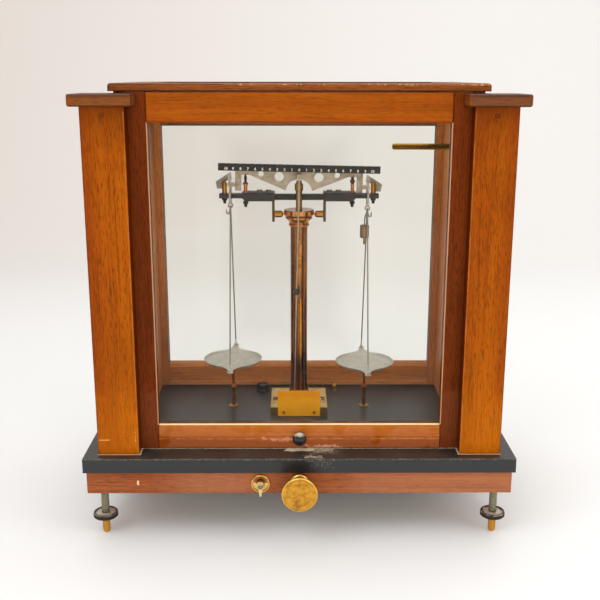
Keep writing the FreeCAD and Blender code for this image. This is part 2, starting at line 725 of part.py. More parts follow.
def cord_loop():
    """Half turn of the right-hand cord over its pulley."""
    centre = V(PULLEY_X, SASH_MID, PULLEY_Z)
    return Part.makeTorus(PULLEY_R, CORD_R, centre, BACK).common(
        box(PULLEY_X - 2 * PULLEY_R, PULLEY_X + 2 * PULLEY_R, SASH_MID - 2 * CORD_R, SASH_MID + 2 * CORD_R,
            PULLEY_Z, PULLEY_Z + 2 * PULLEY_R))


def weight_cord():
    """Weight-side run of the right-hand cord, from the pulley's centre height to the weight."""
    x = PULLEY_X + PULLEY_R
    return rod(V(x, SASH_MID, WEIGHT_HEAD + 4.0), V(x, SASH_MID, PULLEY_Z), CORD_R)


# ---------------------------------------------------------------- carcass
def side_limits():
    """Front and back of a side frame and the edges of its window."""
    front = COLUMN_BACK
    back = CARCASS_BACK
    return front, back, front + SIDE_FRONT_STILE, back - SIDE_REAR_STILE


def side_pane(extra=0.0):
    """Pane of the right-hand side, grown by extra for its groove."""
    _, _, open_front, open_back = side_limits()
    mid = SIDE_INNER + SIDE_THICK / 2.0
    return box(mid - PANE_THICK / 2.0 - extra, mid + PANE_THICK / 2.0 + extra,
               open_front - PANE_LAP - extra, open_back + PANE_LAP + extra,
               TOP + RAIL_LOW - PANE_LAP - extra, CARCASS_TOP - RAIL_LOW + PANE_LAP + extra)


def side_stiles():
    """Front and rear uprights of the right-hand side, the front one bored for the rod bush."""
    front, back, open_front, open_back = side_limits()
    outer = SIDE_INNER + SIDE_THICK
    fore = box(SIDE_INNER, outer, front, open_front, TOP, CARCASS_TOP)
    rear = box(SIDE_INNER, outer, open_back, back, TOP, CARCASS_TOP)
    groove = side_pane(PANE_PLAY)
    return group([fore.cut(groove), rear.cut(groove)])


def side_rails():
    """Bottom and top rails of the right-hand side, and the bar that carries the rod bush."""
    _, _, open_front, open_back = side_limits()
    outer = SIDE_INNER + SIDE_THICK
    groove = side_pane(PANE_PLAY)
    low = box(SIDE_INNER, outer, open_front, open_back, TOP, TOP + RAIL_LOW)
    high = box(SIDE_INNER, outer, open_front, open_back, CARCASS_TOP - RAIL_LOW, CARCASS_TOP)
    return group([low.cut(groove), high.cut(groove)])


def carrier_space():
    """Block of space that the rider rod's boss takes out of the right-hand window."""
    _, _, _, open_back = side_limits()
    z = CARRIER_Z
    reach = CARRIER_BUSH_R + 3.0
    return box(SIDE_INNER, SIDE_INNER + SIDE_THICK, BEAM_Y - reach, open_back, z - reach, z + reach)


def carrier_plate():
    """Wood boss in the right-hand window that carries the rider-rod bush."""
    start = V(SIDE_INNER - 1, BEAM_Y, CARRIER_Z)
    return carrier_space().cut(rod(start, start.add(RIGHT * (SIDE_THICK + 2)), CARRIER_R + 1.4))


def side_panes():
    """Both side panes; the right-hand one is cut away around the rider rod's boss."""
    return group([mirrored(side_pane()), side_pane().cut(carrier_space())])


def rear_pane(extra=0.0):
    """Rear pane, grown by extra for its groove."""
    half = SIDE_INNER - REAR_STILE + PANE_LAP + extra
    mid = REAR_FACE + REAR_THICK / 2.0
    return box(-half, half, mid - PANE_THICK / 2.0 - extra, mid + PANE_THICK / 2.0 + extra,
               TOP + RAIL_LOW - PANE_LAP - extra, CARCASS_TOP - RAIL_HIGH + PANE_LAP + extra)


def rear_stiles():
    """Uprights of the rear frame."""
    stile = box(SIDE_INNER - REAR_STILE, SIDE_INNER, REAR_FACE, CARCASS_BACK, TOP, CARCASS_TOP)
    return group(solid.cut(rear_pane(PANE_PLAY)) for solid in both(stile).Solids)


def rear_rails():
    """Bottom and top rails of the rear frame; the bottom one has a bead and a bevelled edge."""
    half = SIDE_INNER - REAR_STILE
    head = TOP + RAIL_LOW
    face = REAR_FACE
    outline = [V(-half, face, TOP), (V(-half, face - 1.6, TOP + 3.2), V(-half, face, TOP + 6.4)),
               V(-half, face, head - 3.6), V(-half, face + 3.0, head), V(-half, CARCASS_BACK, head),
               V(-half, CARCASS_BACK, TOP), V(-half, face, TOP)]
    low = slab_of(outline, RIGHT * (2 * half))
    high = box(-half, half, face, CARCASS_BACK, CARCASS_TOP - RAIL_HIGH, CARCASS_TOP)
    high = high.makeChamfer(2.0, edges_along(high, RIGHT, lambda p: p.z < CARCASS_TOP - RAIL_HIGH + 1
                                             and p.y < face + 1))
    return group([low.cut(rear_pane(PANE_PLAY)), high.cut(rear_pane(PANE_PLAY))])


def lid_limits():
    """Half width, front and back of the lid."""
    return SIDE_INNER + SIDE_THICK + LID_OVERHANG, SASH_BACK + 0.8, CARCASS_BACK + LID_OVERHANG


def lid_opening():
    """Half width, front and back of the lid's window."""
    half, front, back = lid_limits()
    return half - LID_RAIL, front + LID_RAIL, back - LID_RAIL


def lid_pane(extra=0.0):
    """Pane of the lid, grown by extra for its groove."""
    half, front, back = lid_opening()
    lap = PANE_LAP + extra
    mid = CARCASS_TOP + LID_THICK / 2.0
    return box(-half - lap, half + lap, front - lap, back + lap,
               mid - PANE_THICK / 2.0 - extra, mid + PANE_THICK / 2.0 + extra)


def lid_rails():
    """The four members of the lid, rounded along the outer upper edges."""
    half, front, back = lid_limits()
    head = CARCASS_TOP + LID_THICK
    body = box(-half, half, front, back, CARCASS_TOP, head)
    body = body.makeFillet(LID_ROUND, [edge for edge in body.Edges if edge.CenterOfMass.z > head - 0.01])
    x_open, y_front, y_back = lid_opening()
    low = CARCASS_TOP - 1
    body = body.cut([box(-x_open, x_open, y_front, y_back, low, head + 1), lid_pane(PANE_PLAY)])
    wide = half + 1
    fore = body.common(box(-wide, wide, front - 1, y_front, low, head + 1))
    rear = body.common(box(-wide, wide, y_back, back + 1, low, head + 1))
    left = body.common(box(-wide, 0, y_front, y_back, low, head + 1))
    right = body.common(box(0, wide, y_front, y_back, low, head + 1))
    return group([fore, rear, left, right])


# ---------------------------------------------------------------- pillar group
def pillar_base():
    """Brass block screwed to the slab, bored for the push rod and countersunk at the sides."""
    half = BLOCK_WIDTH / 2.0
    front = BEAM_Y - BLOCK_DEPTH / 2.0
    body = box(-half, half, front, front + BLOCK_DEPTH, TOP, TOP + BLOCK_HEIGHT)
    body = body.makeChamfer(0.6, [edge for edge in body.Edges
                                  if edge.CenterOfMass.z > TOP + BLOCK_HEIGHT - 0.01])
    start = V(0, BEAM_Y + ROD_BACK, TOP - 1)
    body = body.cut(rod(start, start.add(UP * (BLOCK_HEIGHT + 2)), ROD_R + 4 * RUNNING_FIT))
    for solid in block_screws().Solids:
        bounds = solid.BoundBox
        body = body.cut(rod(V(bounds.Center.x, bounds.Center.y, TOP + BLOCK_HEIGHT - 2.0),
                            V(bounds.Center.x, bounds.Center.y, TOP + BLOCK_HEIGHT + 1),
                            bounds.XLength / 2.0))
    return body


def block_screws():
    """Slotted screws at the sides of the brass block."""
    x = BLOCK_WIDTH / 2.0 - BLOCK_SCREW_INSET
    return both(cheese_screw(V(x, BEAM_Y - 5.0, TOP + BLOCK_HEIGHT - 2.0), 3.0, 1.7, UP))


def index_plate():
    """Bare upright plate on the front of the brass block."""
    back = BEAM_Y - BLOCK_DEPTH / 2.0
    low = TOP + CLEAR
    half = PLATE_WIDTH / 2.0
    plate = box(-half, half, back - PLATE_THICK, back, low, low + PLATE_HEIGHT)
    return softened(plate, 0.8, BACK, lambda p: True)


def plate_screws():
    """The two small screws of the upright plate."""
    face = BEAM_Y - BLOCK_DEPTH / 2.0 - PLATE_THICK
    return both(cheese_screw(V(PLATE_SCREW_X, face, TOP + CLEAR + PLATE_SCREW_RISE), 1.6, 0.8, BACK * -1))


def pillar_tube():
    """Turned pillar with a spreading foot and a moulded capital, bored through."""
    low = TOP + BLOCK_HEIGHT
    head = CAPITAL_TOP
    rim = head - CAPITAL_RIM
    neck = rim - 11.0
    profile = [(TUBE_FOOT_R, low), (TUBE_FOOT_R, low + 3.0), (TUBE_FOOT_R - 1.2, low + 4.2),
               ((TUBE_R + 1.4, low + 9.6), (TUBE_R, low + 14.0)),
               (TUBE_R, neck - 1.6), ((TUBE_R + 2.2, neck), (TUBE_R + 1.4, neck + 1.6)),
               ((TUBE_R + 2.2, neck + 4.4), (CAPITAL_R - 3.8, neck + 6.0)),
               ((CAPITAL_R - 1.7, rim - 3.0), (CAPITAL_R - 2.6, rim - 1.0)),
               (CAPITAL_R - 0.6, rim), (CAPITAL_R, rim + 0.8), (CAPITAL_R, head - 0.6),
               (CAPITAL_R - 0.6, head)]
    body = turned(profile, V(0, BEAM_Y, 0), UP)
    bore = rod(V(0, BEAM_Y, low - 1), V(0, BEAM_Y, rim + 2.0), TUBE_R - TUBE_WALL)
    way = rod(V(0, BEAM_Y + ROD_BACK, rim), V(0, BEAM_Y + ROD_BACK, head + 1), ROD_R + 2 * RUNNING_FIT)
    socket = rod(V(0, BEAM_Y, rim), V(0, BEAM_Y, head + 1), POST_SPIGOT_R)
    return body.cut([bore, way, socket])


def knife_post():
    """Post on the capital with a rounded head that carries the agate plane."""
    base = CAPITAL_TOP
    shoulder = KNIFE_Z - 11.4
    head = KNIFE_Z - KNIFE_GAP - AGATE_HEIGHT
    profile = [(POST_SPIGOT_R, base - 3.6), (POST_SPIGOT_R, base), (POST_R, base),
               (POST_R, shoulder), (POST_HEAD_R, shoulder + 1.4), (POST_HEAD_R, head - 2.4),
               ((POST_HEAD_R - 0.5, head - 0.8), (POST_HEAD_R - 1.6, head))]
    return turned(profile, V(0, BEAM_Y, 0), UP)


def knife_plane():
    """Agate plane under the centre knife."""
    head = KNIFE_Z - KNIFE_GAP
    return box(-3.2, 3.2, BEAM_Y - 4.6, BEAM_Y + 4.6, head - AGATE_HEIGHT, head)


def spirit_level():
    """Black bull's-eye level cup on the floor."""
    centre = V(-LEVEL_X, FRONT + LEVEL_SETBACK, TOP)
    return turned([(LEVEL_R, 0.0), (LEVEL_R, 2.0), (LEVEL_R - 1.2, 3.0), (LEVEL_R - 1.2, LEVEL_HEIGHT - 1.0),
                   (LEVEL_R - 2.0, LEVEL_HEIGHT), (LEVEL_R - 3.0, LEVEL_HEIGHT),
                   (LEVEL_R - 3.2, LEVEL_HEIGHT - 1.2)], centre, UP)


def level_glass():
    """Domed glass of the level."""
    centre = V(-LEVEL_X, FRONT + LEVEL_SETBACK, TOP + LEVEL_HEIGHT - 1.2)
    r = LEVEL_R - 3.2
    return turned([(r, 0.0), dome(r, 0.0, 1.6)], centre, UP)


def ball_stud():
    """Brass ball on a short neck, screwed into the floor."""
    centre = V(LEVEL_X, FRONT + LEVEL_SETBACK, TOP)
    neck = 1.2
    mid = STUD_NECK + math.sqrt(STUD_BALL_R ** 2 - neck ** 2)
    return turned([(2.6, 0.0), (2.6, 1.0), (neck, 1.6), (neck, STUD_NECK),
                   ((STUD_BALL_R, mid), (0.0, mid + STUD_BALL_R))], centre, UP)


# ---------------------------------------------------------------- beam
def tilted(shape):
    """A level beam part turned to the rest angle about the centre knife edge."""
    turned_part = shape.copy()
    turned_part.rotate(V(0, BEAM_Y, KNIFE_Z), BACK, BEAM_REST_TILT)
    return turned_part


def knife_end(side):
    """Place of an end knife's edge with the beam at its rest angle."""
    angle = math.radians(BEAM_REST_TILT)
    return V(side * BEAM_HALF * math.cos(angle), BEAM_Y, KNIFE_Z - side * BEAM_HALF * math.sin(angle))


def knife_prism(edge, direction):
    """Three-sided knife with its edge at a point, its body on the given vertical side."""
    front = edge.sub(BACK * (KNIFE_LENGTH / 2.0))
    rise = UP * (direction * KNIFE_TALL)
    half = RIGHT * (KNIFE_WIDE / 2.0)
    return slab_of([front, front.add(rise).add(half), front.add(rise).sub(half), front],
                   BACK * KNIFE_LENGTH)


def truss():
    """Level truss plate: two legs, sloping lower edges, a central arch and four holes."""
    z = KNIFE_Z
    y = BEAM_Y - TRUSS_THICK / 2.0
    head = z + RIDER_BAR_LOW + RIDER_BAR_HEIGHT - RIDER_BAR_LAP
    right = [V(LEG_OUTER, y, head), V(LEG_OUTER, y, z - LEG_DROP),
             V(LEG_OUTER - LEG_WIDTH, y, z - LEG_DROP), V(LEG_OUTER - LEG_WIDTH, y, z + NOTCH_TOP),
             V(NOTCH_X, y, z + NOTCH_TOP), V(ARCH_HALF, y, z - ARCH_FOOT)]
    left = [V(-p.x, p.y, p.z) for p in reversed(right)]
    crown = V(0, y, z + ARCH_TOP)
    outline = right + [(crown, left[0])] + left[1:] + [right[0]]
    plate = slab_of(outline, BACK * TRUSS_THICK)
    cuts = []
    for x, radius, rise in ((BIG_HOLE_X, BIG_HOLE_R, BIG_HOLE_RISE),
                            (SMALL_HOLE_X, SMALL_HOLE_R, SMALL_HOLE_RISE)):
        for side in (-1, 1):
            start = V(side * x, y - 1, z + rise)
            cuts.append(rod(start, start.add(BACK * (TRUSS_THICK + 2)), radius))
    cuts.append(knife_prism(V(0, BEAM_Y, z), 1))
    return plate.cut(cuts)


def rider_bar():
    """Level notched bar for the rider, on the face of the truss."""
    y = BEAM_Y - TRUSS_THICK / 2.0 - RIDER_BAR_THICK
    low = KNIFE_Z + RIDER_BAR_LOW
    head = low + RIDER_BAR_HEIGHT
    bar = box(-RIDER_BAR_HALF, RIDER_BAR_HALF, y, y + RIDER_BAR_THICK, low, head)
    cuts = []
    step = rider_step()
    for index in range(-10, 11):
        notch = box(-NOTCH_WIDE / 2.0, NOTCH_WIDE / 2.0, y - 1, y + RIDER_BAR_THICK + 1,
                    head - NOTCH_DEEP, head + 1)
        notch.translate(V(index * step, 0, 0))
        cuts.append(notch)
    return bar.cut(cuts)


def rider_step():
    """Spacing of the rider notches."""
    return (RIDER_BAR_HALF - RIDER_END) / 10.0


def knife_carriers():
    """Level blocks outside the truss legs that hold the end knives."""
    head = KNIFE_Z - KNIFE_TALL
    block = box(LEG_OUTER, BEAM_HALF + KNIFE_BLOCK_OUT, BEAM_Y - KNIFE_BLOCK_HALF, BEAM_Y + KNIFE_BLOCK_HALF,
                head - KNIFE_BLOCK_TALL, head)
    return both(block)


def knives():
    """Centre knife, edge down, and two end knives, edges up."""
    ends = [knife_prism(V(side * BEAM_HALF, BEAM_Y, KNIFE_Z), -1) for side in (-1, 1)]
    return group([knife_prism(V(0, BEAM_Y, KNIFE_Z), 1)] + ends)


def pointer_y():
    """Plane of the pointer."""
    return BEAM_Y - POINTER_AHEAD


def pointer():
    """Level pointer: an arm out of the truss and a tapering needle down the front."""
    low = KNIFE_Z + KNIFE_TALL + 0.2
    y = pointer_y()
    half = POINTER_ARM_WIDE / 2.0
    arm = box(-half, half, y - POINTER_TOP_R - 0.8, BEAM_Y - TRUSS_THICK / 2.0, low, low + POINTER_ARM_TALL)
    needle = Part.makeCone(POINTER_TIP_R, POINTER_TOP_R, low - TOP - POINTER_FOOT,
                           V(0, y, TOP + POINTER_FOOT), UP)
    return arm.fuse(needle).removeSplitter()


def pointer_radius(height):
    """Needle radius at a height above the slab."""
    low = KNIFE_HEIGHT + KNIFE_TALL + 0.2
    share = (height - POINTER_FOOT) / (low - POINTER_FOOT)
    return POINTER_TIP_R + (POINTER_TOP_R - POINTER_TIP_R) * share


def gravity_bob():
    """Level bob that slides on the needle."""
    bore = pointer_radius(BOB_HEIGHT + BOB_R + BOB_TRAVEL) + RUNNING_FIT
    centre = V(0, pointer_y(), TOP + BOB_HEIGHT)
    flat = BOB_R - BOB_FLAT
    lip = math.sqrt(BOB_R ** 2 - flat ** 2)
    ball = turned([(lip, -flat), ((BOB_R, 0.0), (lip, flat))], centre, UP)
    return ball.cut(rod(centre.sub(UP * (BOB_R + 1)), centre.add(UP * (BOB_R + 1)), bore))


# ---------------------------------------------------------------- arrestment
def arrest_arm():
    """Right-hand arm: thick by the middle, stepped down to a thin tip, lapped on the bar."""
    y = BEAM_Y - ARM_FRONT
    outline = [V(ARM_INNER, y, ARM_LOW), V(ARM_STEP - 3.0, y, ARM_LOW),
               V(ARM_STEP, y, ARM_TIP_LOW), V(ARM_OUTER, y, ARM_TIP_LOW),
               V(ARM_OUTER, y, ARM_TIP_TOP), V(ARM_STEP, y, ARM_TIP_TOP),
               V(ARM_STEP, y, ARM_TOP), V(ARM_INNER, y, ARM_TOP),
               V(ARM_INNER, y, ARM_LOW)]
    arm = slab_of(outline, BACK * (ARM_FRONT + ARM_BACK))
    slim = box(ARM_STEP, ARM_OUTER + 1, BEAM_Y + ARM_TIP_BACK, BEAM_Y + ARM_BACK + 1,
               ARM_TIP_LOW - 1, ARM_TOP + 1)
    lap = box(ARM_INNER - 1, BAR_HALF, BEAM_Y + BAR_FRONT, BEAM_Y + ARM_BACK + 1,
              ARM_LOW - 1, BAR_TOP)
    return arm.cut([slim, lap])


def arrest_bar():
    """Centre bar behind the post that joins the arms and stands on the push rod."""
    return box(-BAR_HALF, BAR_HALF, BEAM_Y + BAR_FRONT, BEAM_Y + ARM_BACK, ARM_LOW, BAR_TOP)


def arrest_screws():
    """Slotted screws through both arms into the bar."""
    y = BEAM_Y + (BAR_FRONT + ARM_BACK) / 2.0
    return group(both(cheese_screw(V(x, y, ARM_TOP), SCREW_R, SCREW_HEAD, UP)) for x in SCREW_X)


def pin_y():
    """Plane of the pins, under the rider bar."""
    return BEAM_Y - TRUSS_THICK / 2.0 - RIDER_BAR_THICK / 2.0 - 0.6


def left_pin():
    """Left pin: a collared stem with a slim cone above."""
    base = ARM_TOP
    head = LEFT_PIN_TOP
    return turned([(2.3, base), (2.0, base + 1.0), (2.0, head - 12.4), (2.9, head - 12.0),
                   (2.9, head - 9.8), (1.3, head - 8.8), (1.3, head - 7.6), (PIN_R, head - 5.0),
                   ((PIN_R - 0.5, head - 2.0), (0.4, head))], V(-PIN_X, pin_y(), 0), UP)


def right_pin():
    """Right pin: a waisted stem with a nutted stud above."""
    base = ARM_TOP
    head = RIGHT_PIN_TOP
    y = pin_y()
    stem = turned([(2.4, base), (1.7, base + 2.4), (2.2, head - 8.2), (PIN_R, head - 8.2),
                   (PIN_R, head - 0.4), (PIN_R - 0.4, head)], V(PIN_X, y, 0), UP)
    return stem


def hex_nut(centre, across, height):
    """A six-sided nut standing on a point."""
    radius = across / math.sqrt(3.0)
    corners = [centre.add(V(radius * math.cos(math.radians(60 * k + 30)),
                            radius * math.sin(math.radians(60 * k + 30)), 0)) for k in range(7)]
    return slab_of(corners[:6] + [corners[0]], UP * height)


def arrest_nuts():
    """Nut on the right pin and the nuts and bolt ends beneath the arms."""
    right_head = RIGHT_PIN_TOP
    collar = hex_nut(V(PIN_X, pin_y(), right_head - 6.4), 5.4, 2.6)
    collar = collar.cut(rod(V(PIN_X, pin_y(), right_head - 8), V(PIN_X, pin_y(), right_head), PIN_R))
    nuts = [collar]
    for x, y, low in ((PIN_X, pin_y(), ARM_LOW), (SUPPORT_X, BEAM_Y, ARM_TIP_LOW)):
        nut = hex_nut(V(x, y, low - 3.0), 5.6, 3.0)
        tail = rod(V(x, y, low - 6.4), V(x, y, low - 3.0), 1.7)
        nuts.extend(both(nut.fuse(tail).removeSplitter()).Solids)
    return group(nuts)


def stirrup_supports():
    """Brass posts at the arm tips, under the stirrups' wings."""
    base = ARM_TIP_TOP
    head = SUPPORT_TOP
    return both(turned([(SUPPORT_R, base), (SUPPORT_R, head - 2.0), (0.5, head)],
                       V(SUPPORT_X, BEAM_Y, 0), UP))


def guide_bars():
    """Flat bars that hang from the arms beside the capital."""
    return both(box(ARM_INNER, ARM_INNER + GUIDE_WIDTH, BEAM_Y - 2.6, BEAM_Y + 2.6,
                    GUIDE_FOOT, ARM_LOW))


def guide_studs():
    """Round-nosed brass studs that run beside the capital's rim."""
    tip = CAPITAL_R + CLEAR
    length = ARM_INNER - tip
    profile = [(STUD_R, 0.0), (STUD_R, length - STUD_R * 0.8), dome(STUD_R, length - STUD_R * 0.8, length)]
    return both(turned(profile, V(ARM_INNER, BEAM_Y, STUD_Z), RIGHT * -1))


def follower_tip(x, y, tip_z, radius):
    """Round end of a cam follower, its lowest point at tip_z."""
    return Part.makeSphere(radius, V(x, y, tip_z + radius))


def push_rod():
    """Rod through the pillar from the cam to the centre bar."""
    y = BEAM_Y + ROD_BACK
    tip = DRIVE_Z + LIFT_CAM_R + CLEAR
    body = rod(V(0, y, tip + ROD_R), V(0, y, ARM_LOW), ROD_R)
    return body.fuse(follower_tip(0, y, tip, ROD_R)).removeSplitter()


def cam(x, mid_y, top_r, drop, turn, hub_r, bore_r, side):
    """Spiral cam on a shaft: its lift falls by drop, evenly, over the turn given."""
    margin = 14.0
    slope = drop / turn
    count = 13
    points = []
    for index in range(count):
        angle = -margin + (turn + 2 * margin) * index / (count - 1)
        radius = top_r - slope * min(max(angle, 0.0), turn)
        swing = math.radians(angle)
        points.append(V(x - side * radius * math.sin(swing), mid_y - CAM_THICK / 2.0,
                        DRIVE_Z + radius * math.cos(swing)))
    curve = Part.BSplineCurve()
    curve.interpolate(points)
    centre = V(x, mid_y - CAM_THICK / 2.0, DRIVE_Z)
    wire = Part.Wire([curve.toShape(), Part.makeLine(points[-1], centre), Part.makeLine(centre, points[0])])
    lobe = Part.Face(wire).extrude(BACK * CAM_THICK)
    hub = rod(centre, centre.add(BACK * CAM_THICK), hub_r)
    bore = rod(centre.sub(BACK), centre.add(BACK * (CAM_THICK + 1)), bore_r)
    return lobe.fuse(hub).removeSplitter().cut(bore)


def lift_cam():
    """Cam that lifts the push rod."""
    mid_y = BEAM_Y + ROD_BACK
    return cam(0, mid_y, LIFT_CAM_R, LIFT, LIFT_TURN, LIFT_CAM_R - LIFT, SHAFT_R, 1)


def bracket_y():
    """Face of the bearing brackets under the slab."""
    return BEAM_Y + ROD_BACK + CAM_THICK / 2.0 + 2.0


def arrest_shaft():
    """Shaft from the knob to the bracket under the pillar."""
    return rod(V(0, knob_back(), DRIVE_Z), V(0, bracket_y() + 9.0, DRIVE_Z), SHAFT_R)


def knob_back():
    """Back face of the arrestment knob's disc."""
    return FRONT - KNOB_REACH + KNOB_THICK


def arrest_knob():
    """Dished brass disc with a hub."""
    face = FRONT - KNOB_REACH
    hub_end = APRON_FACE - 5.2 - face
    return turned([(KNOB_R * 0.62, 0.6), ((KNOB_R * 0.86, 0.15), (KNOB_R - 0.8, 0.9)),
                   ((KNOB_R, 1.7), (KNOB_R, KNOB_THICK - 1.5)),
                   ((KNOB_R - 0.6, KNOB_THICK - 0.4), (KNOB_R - 2.0, KNOB_THICK)),
                   (8.0, KNOB_THICK + 0.6), (5.6, KNOB_THICK + 3.0), (5.6, hub_end)],
                  V(0, face, DRIVE_Z), BACK).cut(
        rod(V(0, knob_back(), DRIVE_Z), V(0, APRON_FACE, DRIVE_Z), SHAFT_R))


def knob_collar():
    """Turned escutcheon and bush for the arrestment shaft."""
    flange = 4.8
    body = turned([(SHAFT_R + 3.0, -flange), (COLLAR_R - 2.2, -flange + 0.6),
                   ((COLLAR_R - 0.6, -flange + 1.6), (COLLAR_R, -1.6)), (COLLAR_R, 0.0),
                   (SHAFT_R + 2.0, 0.0), (SHAFT_R + 2.0, APRON_THICK)], V(0, APRON_FACE, DRIVE_Z), BACK)
    start = V(0, APRON_FACE - flange - 1, DRIVE_Z)
    return body.cut(rod(start, start.add(BACK * (APRON_THICK + flange + 2)), SHAFT_R + RUNNING_FIT))


def shaft_brackets():
    """Bearing blocks under the slab at the back ends of both shafts."""
    y = bracket_y()
    blocks = []
    for x, radius in ((0.0, SHAFT_R), (LEVER_X, LEVER_SHAFT_R)):
        half = BRACKET_WIDTH / 2.0
        block = box(x - half, x + half, y, y + BRACKET_THICK, DRIVE_Z - BRACKET_DIP, APRON_TOP)
        start = V(x, y - 1, DRIVE_Z)
        blocks.append(block.cut(rod(start, start.add(BACK * (BRACKET_THICK + 2)), radius + RUNNING_FIT)))
    return group(blocks)


# ---------------------------------------------------------------- pan brakes
def brake_lever():
    """Boss with a tapered finger hanging in front of the ring."""
    face = APRON_FACE - RING_THICK - CLEAR
    boss = turned([(BOSS_R, 0.0), (BOSS_R, 4.2), dome(BOSS_R, 4.2, 5.6)],
                  V(LEVER_X, face, DRIVE_Z), BACK * -1)
    y = face - 3.8
    low = DRIVE_Z - FINGER_LENGTH
    half = FINGER_WIDTH / 2.0
    finger = slab_of([V(LEVER_X - half, y, DRIVE_Z), V(LEVER_X - 0.9, y, low + 0.9),
                      (V(LEVER_X, y, low), V(LEVER_X + 0.9, y, low + 0.9)),
                      V(LEVER_X + half, y, DRIVE_Z), V(LEVER_X - half, y, DRIVE_Z)], BACK * 2.6)
    return boss.fuse(finger).removeSplitter()


def brake_shaft():
    """Shaft from the lever to the bracket beside the pillar."""
    start = APRON_FACE - RING_THICK - CLEAR
    return rod(V(LEVER_X, start, DRIVE_Z), V(LEVER_X, bracket_y() + 9.0, DRIVE_Z), LEVER_SHAFT_R)


def brake_ring():
    """Ring escutcheon and bush for the brake-lever shaft."""
    body = turned([(LEVER_SHAFT_R + 0.6, -RING_DISH), (RING_R - RING_RIM, -RING_DISH),
                   ((RING_R - RING_RIM / 2.0, -RING_THICK), (RING_R, -RING_DISH)), (RING_R, 0.0),
                   (LEVER_SHAFT_R + 1.5, 0.0), (LEVER_SHAFT_R + 1.5, APRON_THICK)],
                  V(LEVER_X, APRON_FACE, DRIVE_Z), BACK)
    start = V(LEVER_X, APRON_FACE - RING_THICK - 1, DRIVE_Z)
    return body.cut(rod(start, start.add(BACK * (APRON_THICK + RING_THICK + 2)),
                        LEVER_SHAFT_R + RUNNING_FIT))


def ring_screws():
    """Two screws in the ring escutcheon."""
    heads = []
    for side in (-1, 1):
        centre = V(LEVER_X + side * RING_SCREW_X, APRON_FACE - RING_DISH, DRIVE_Z)
        heads.append(cheese_screw(centre, RING_SCREW_R, 0.9, BACK * -1))
    return group(heads)


def brake_cam():
    """Cam that lifts the brake yoke."""
    return cam(LEVER_X, BEAM_Y, BRAKE_CAM_R, BRAKE_LIFT, BRAKE_TURN, BRAKE_CAM_R - BRAKE_LIFT,
               LEVER_SHAFT_R, 1)


def brake_yoke():
    """Cranked bar under the slab: it dips below the arrestment shaft and rests on the cam."""
    tip = DRIVE_Z + BRAKE_CAM_R + CLEAR
    low = tip + 2.9
    high = low + YOKE_THICK
    dip_top = DRIVE_Z - SHAFT_R - 0.6
    dip_low = dip_top - YOKE_THICK
    y = BEAM_Y - CAM_THICK / 2.0
    end = BEAM_HALF + 4.0
    inner = YOKE_DIP - YOKE_THICK
    outline = [V(-end, y, high), V(-end, y, low), V(-YOKE_DIP, y, low), V(-YOKE_DIP, y, dip_low),
               V(YOKE_DIP, y, dip_low), V(YOKE_DIP, y, low), V(end, y, low), V(end, y, high),
               V(inner, y, high), V(inner, y, dip_top), V(-inner, y, dip_top), V(-inner, y, high),
               V(-end, y, high)]
    bar = slab_of(outline, BACK * CAM_THICK)
    pin = rod(V(LEVER_X, BEAM_Y, tip + ROD_R), V(LEVER_X, BEAM_Y, low + 0.5), ROD_R)
    return bar.fuse([pin, follower_tip(LEVER_X, BEAM_Y, tip, ROD_R)]).removeSplitter()


def yoke_head():
    """Upper face of the brake yoke's raised ends."""
    return DRIVE_Z + BRAKE_CAM_R + CLEAR + 2.9 + YOKE_THICK


def pan_floor():
    """Lowest that a level pan's underside comes, with the beam fully over and the pan swung."""
    arm = KNIFE_HEIGHT - PAN_HEIGHT
    sink = BEAM_HALF * math.sin(math.radians(BEAM_REST_TILT))
    swing = arm * (1.0 / math.cos(math.radians(PAN_SWING)) - 1.0)
    return TOP + PAN_HEIGHT - PAN_DEPTH - PAN_WALL - sink - swing


def brake_stems():
    """Stems that rise from the yoke through the slab, with a cone below each pad."""
    head = pan_floor() - 0.5 - 3.0
    cone = TOP + 20.0
    stem = turned([(BRAKE_ROD_R, yoke_head()), (BRAKE_ROD_R, cone), (3.6, cone + 3.6),
                   (3.6, cone + 4.6), (1.6, cone + 8.0), (1.6, head)], V(BEAM_HALF, BEAM_Y, 0), UP)
    return both(stem)


def brake_pads():
    """Soft-topped pads under the pans."""
    head = pan_floor() - 0.5
    return both(turned([(1.6, head - 3.0), (BRAKE_PAD_R, head - 1.8), (BRAKE_PAD_R, head - 0.6),
                        dome(BRAKE_PAD_R, head - 0.6, head)], V(BEAM_HALF, BEAM_Y, 0), UP))


def brake_bushes():
    """Flanged bushes in the slab that guide the brake stems."""
    low = APRON_TOP
    body = turned([(bush_r(), low), (bush_r(), TOP), (bush_r() + 2.4, TOP), (bush_r() + 2.4, TOP + 1.2),
                   (BRAKE_ROD_R + 0.8, TOP + 2.0)], V(BEAM_HALF, BEAM_Y, 0), UP)
    start = V(BEAM_HALF, BEAM_Y, low - 1)
    return both(body.cut(rod(start, start.add(UP * (SLAB_THICK + 5)), BRAKE_ROD_R + RUNNING_FIT)))


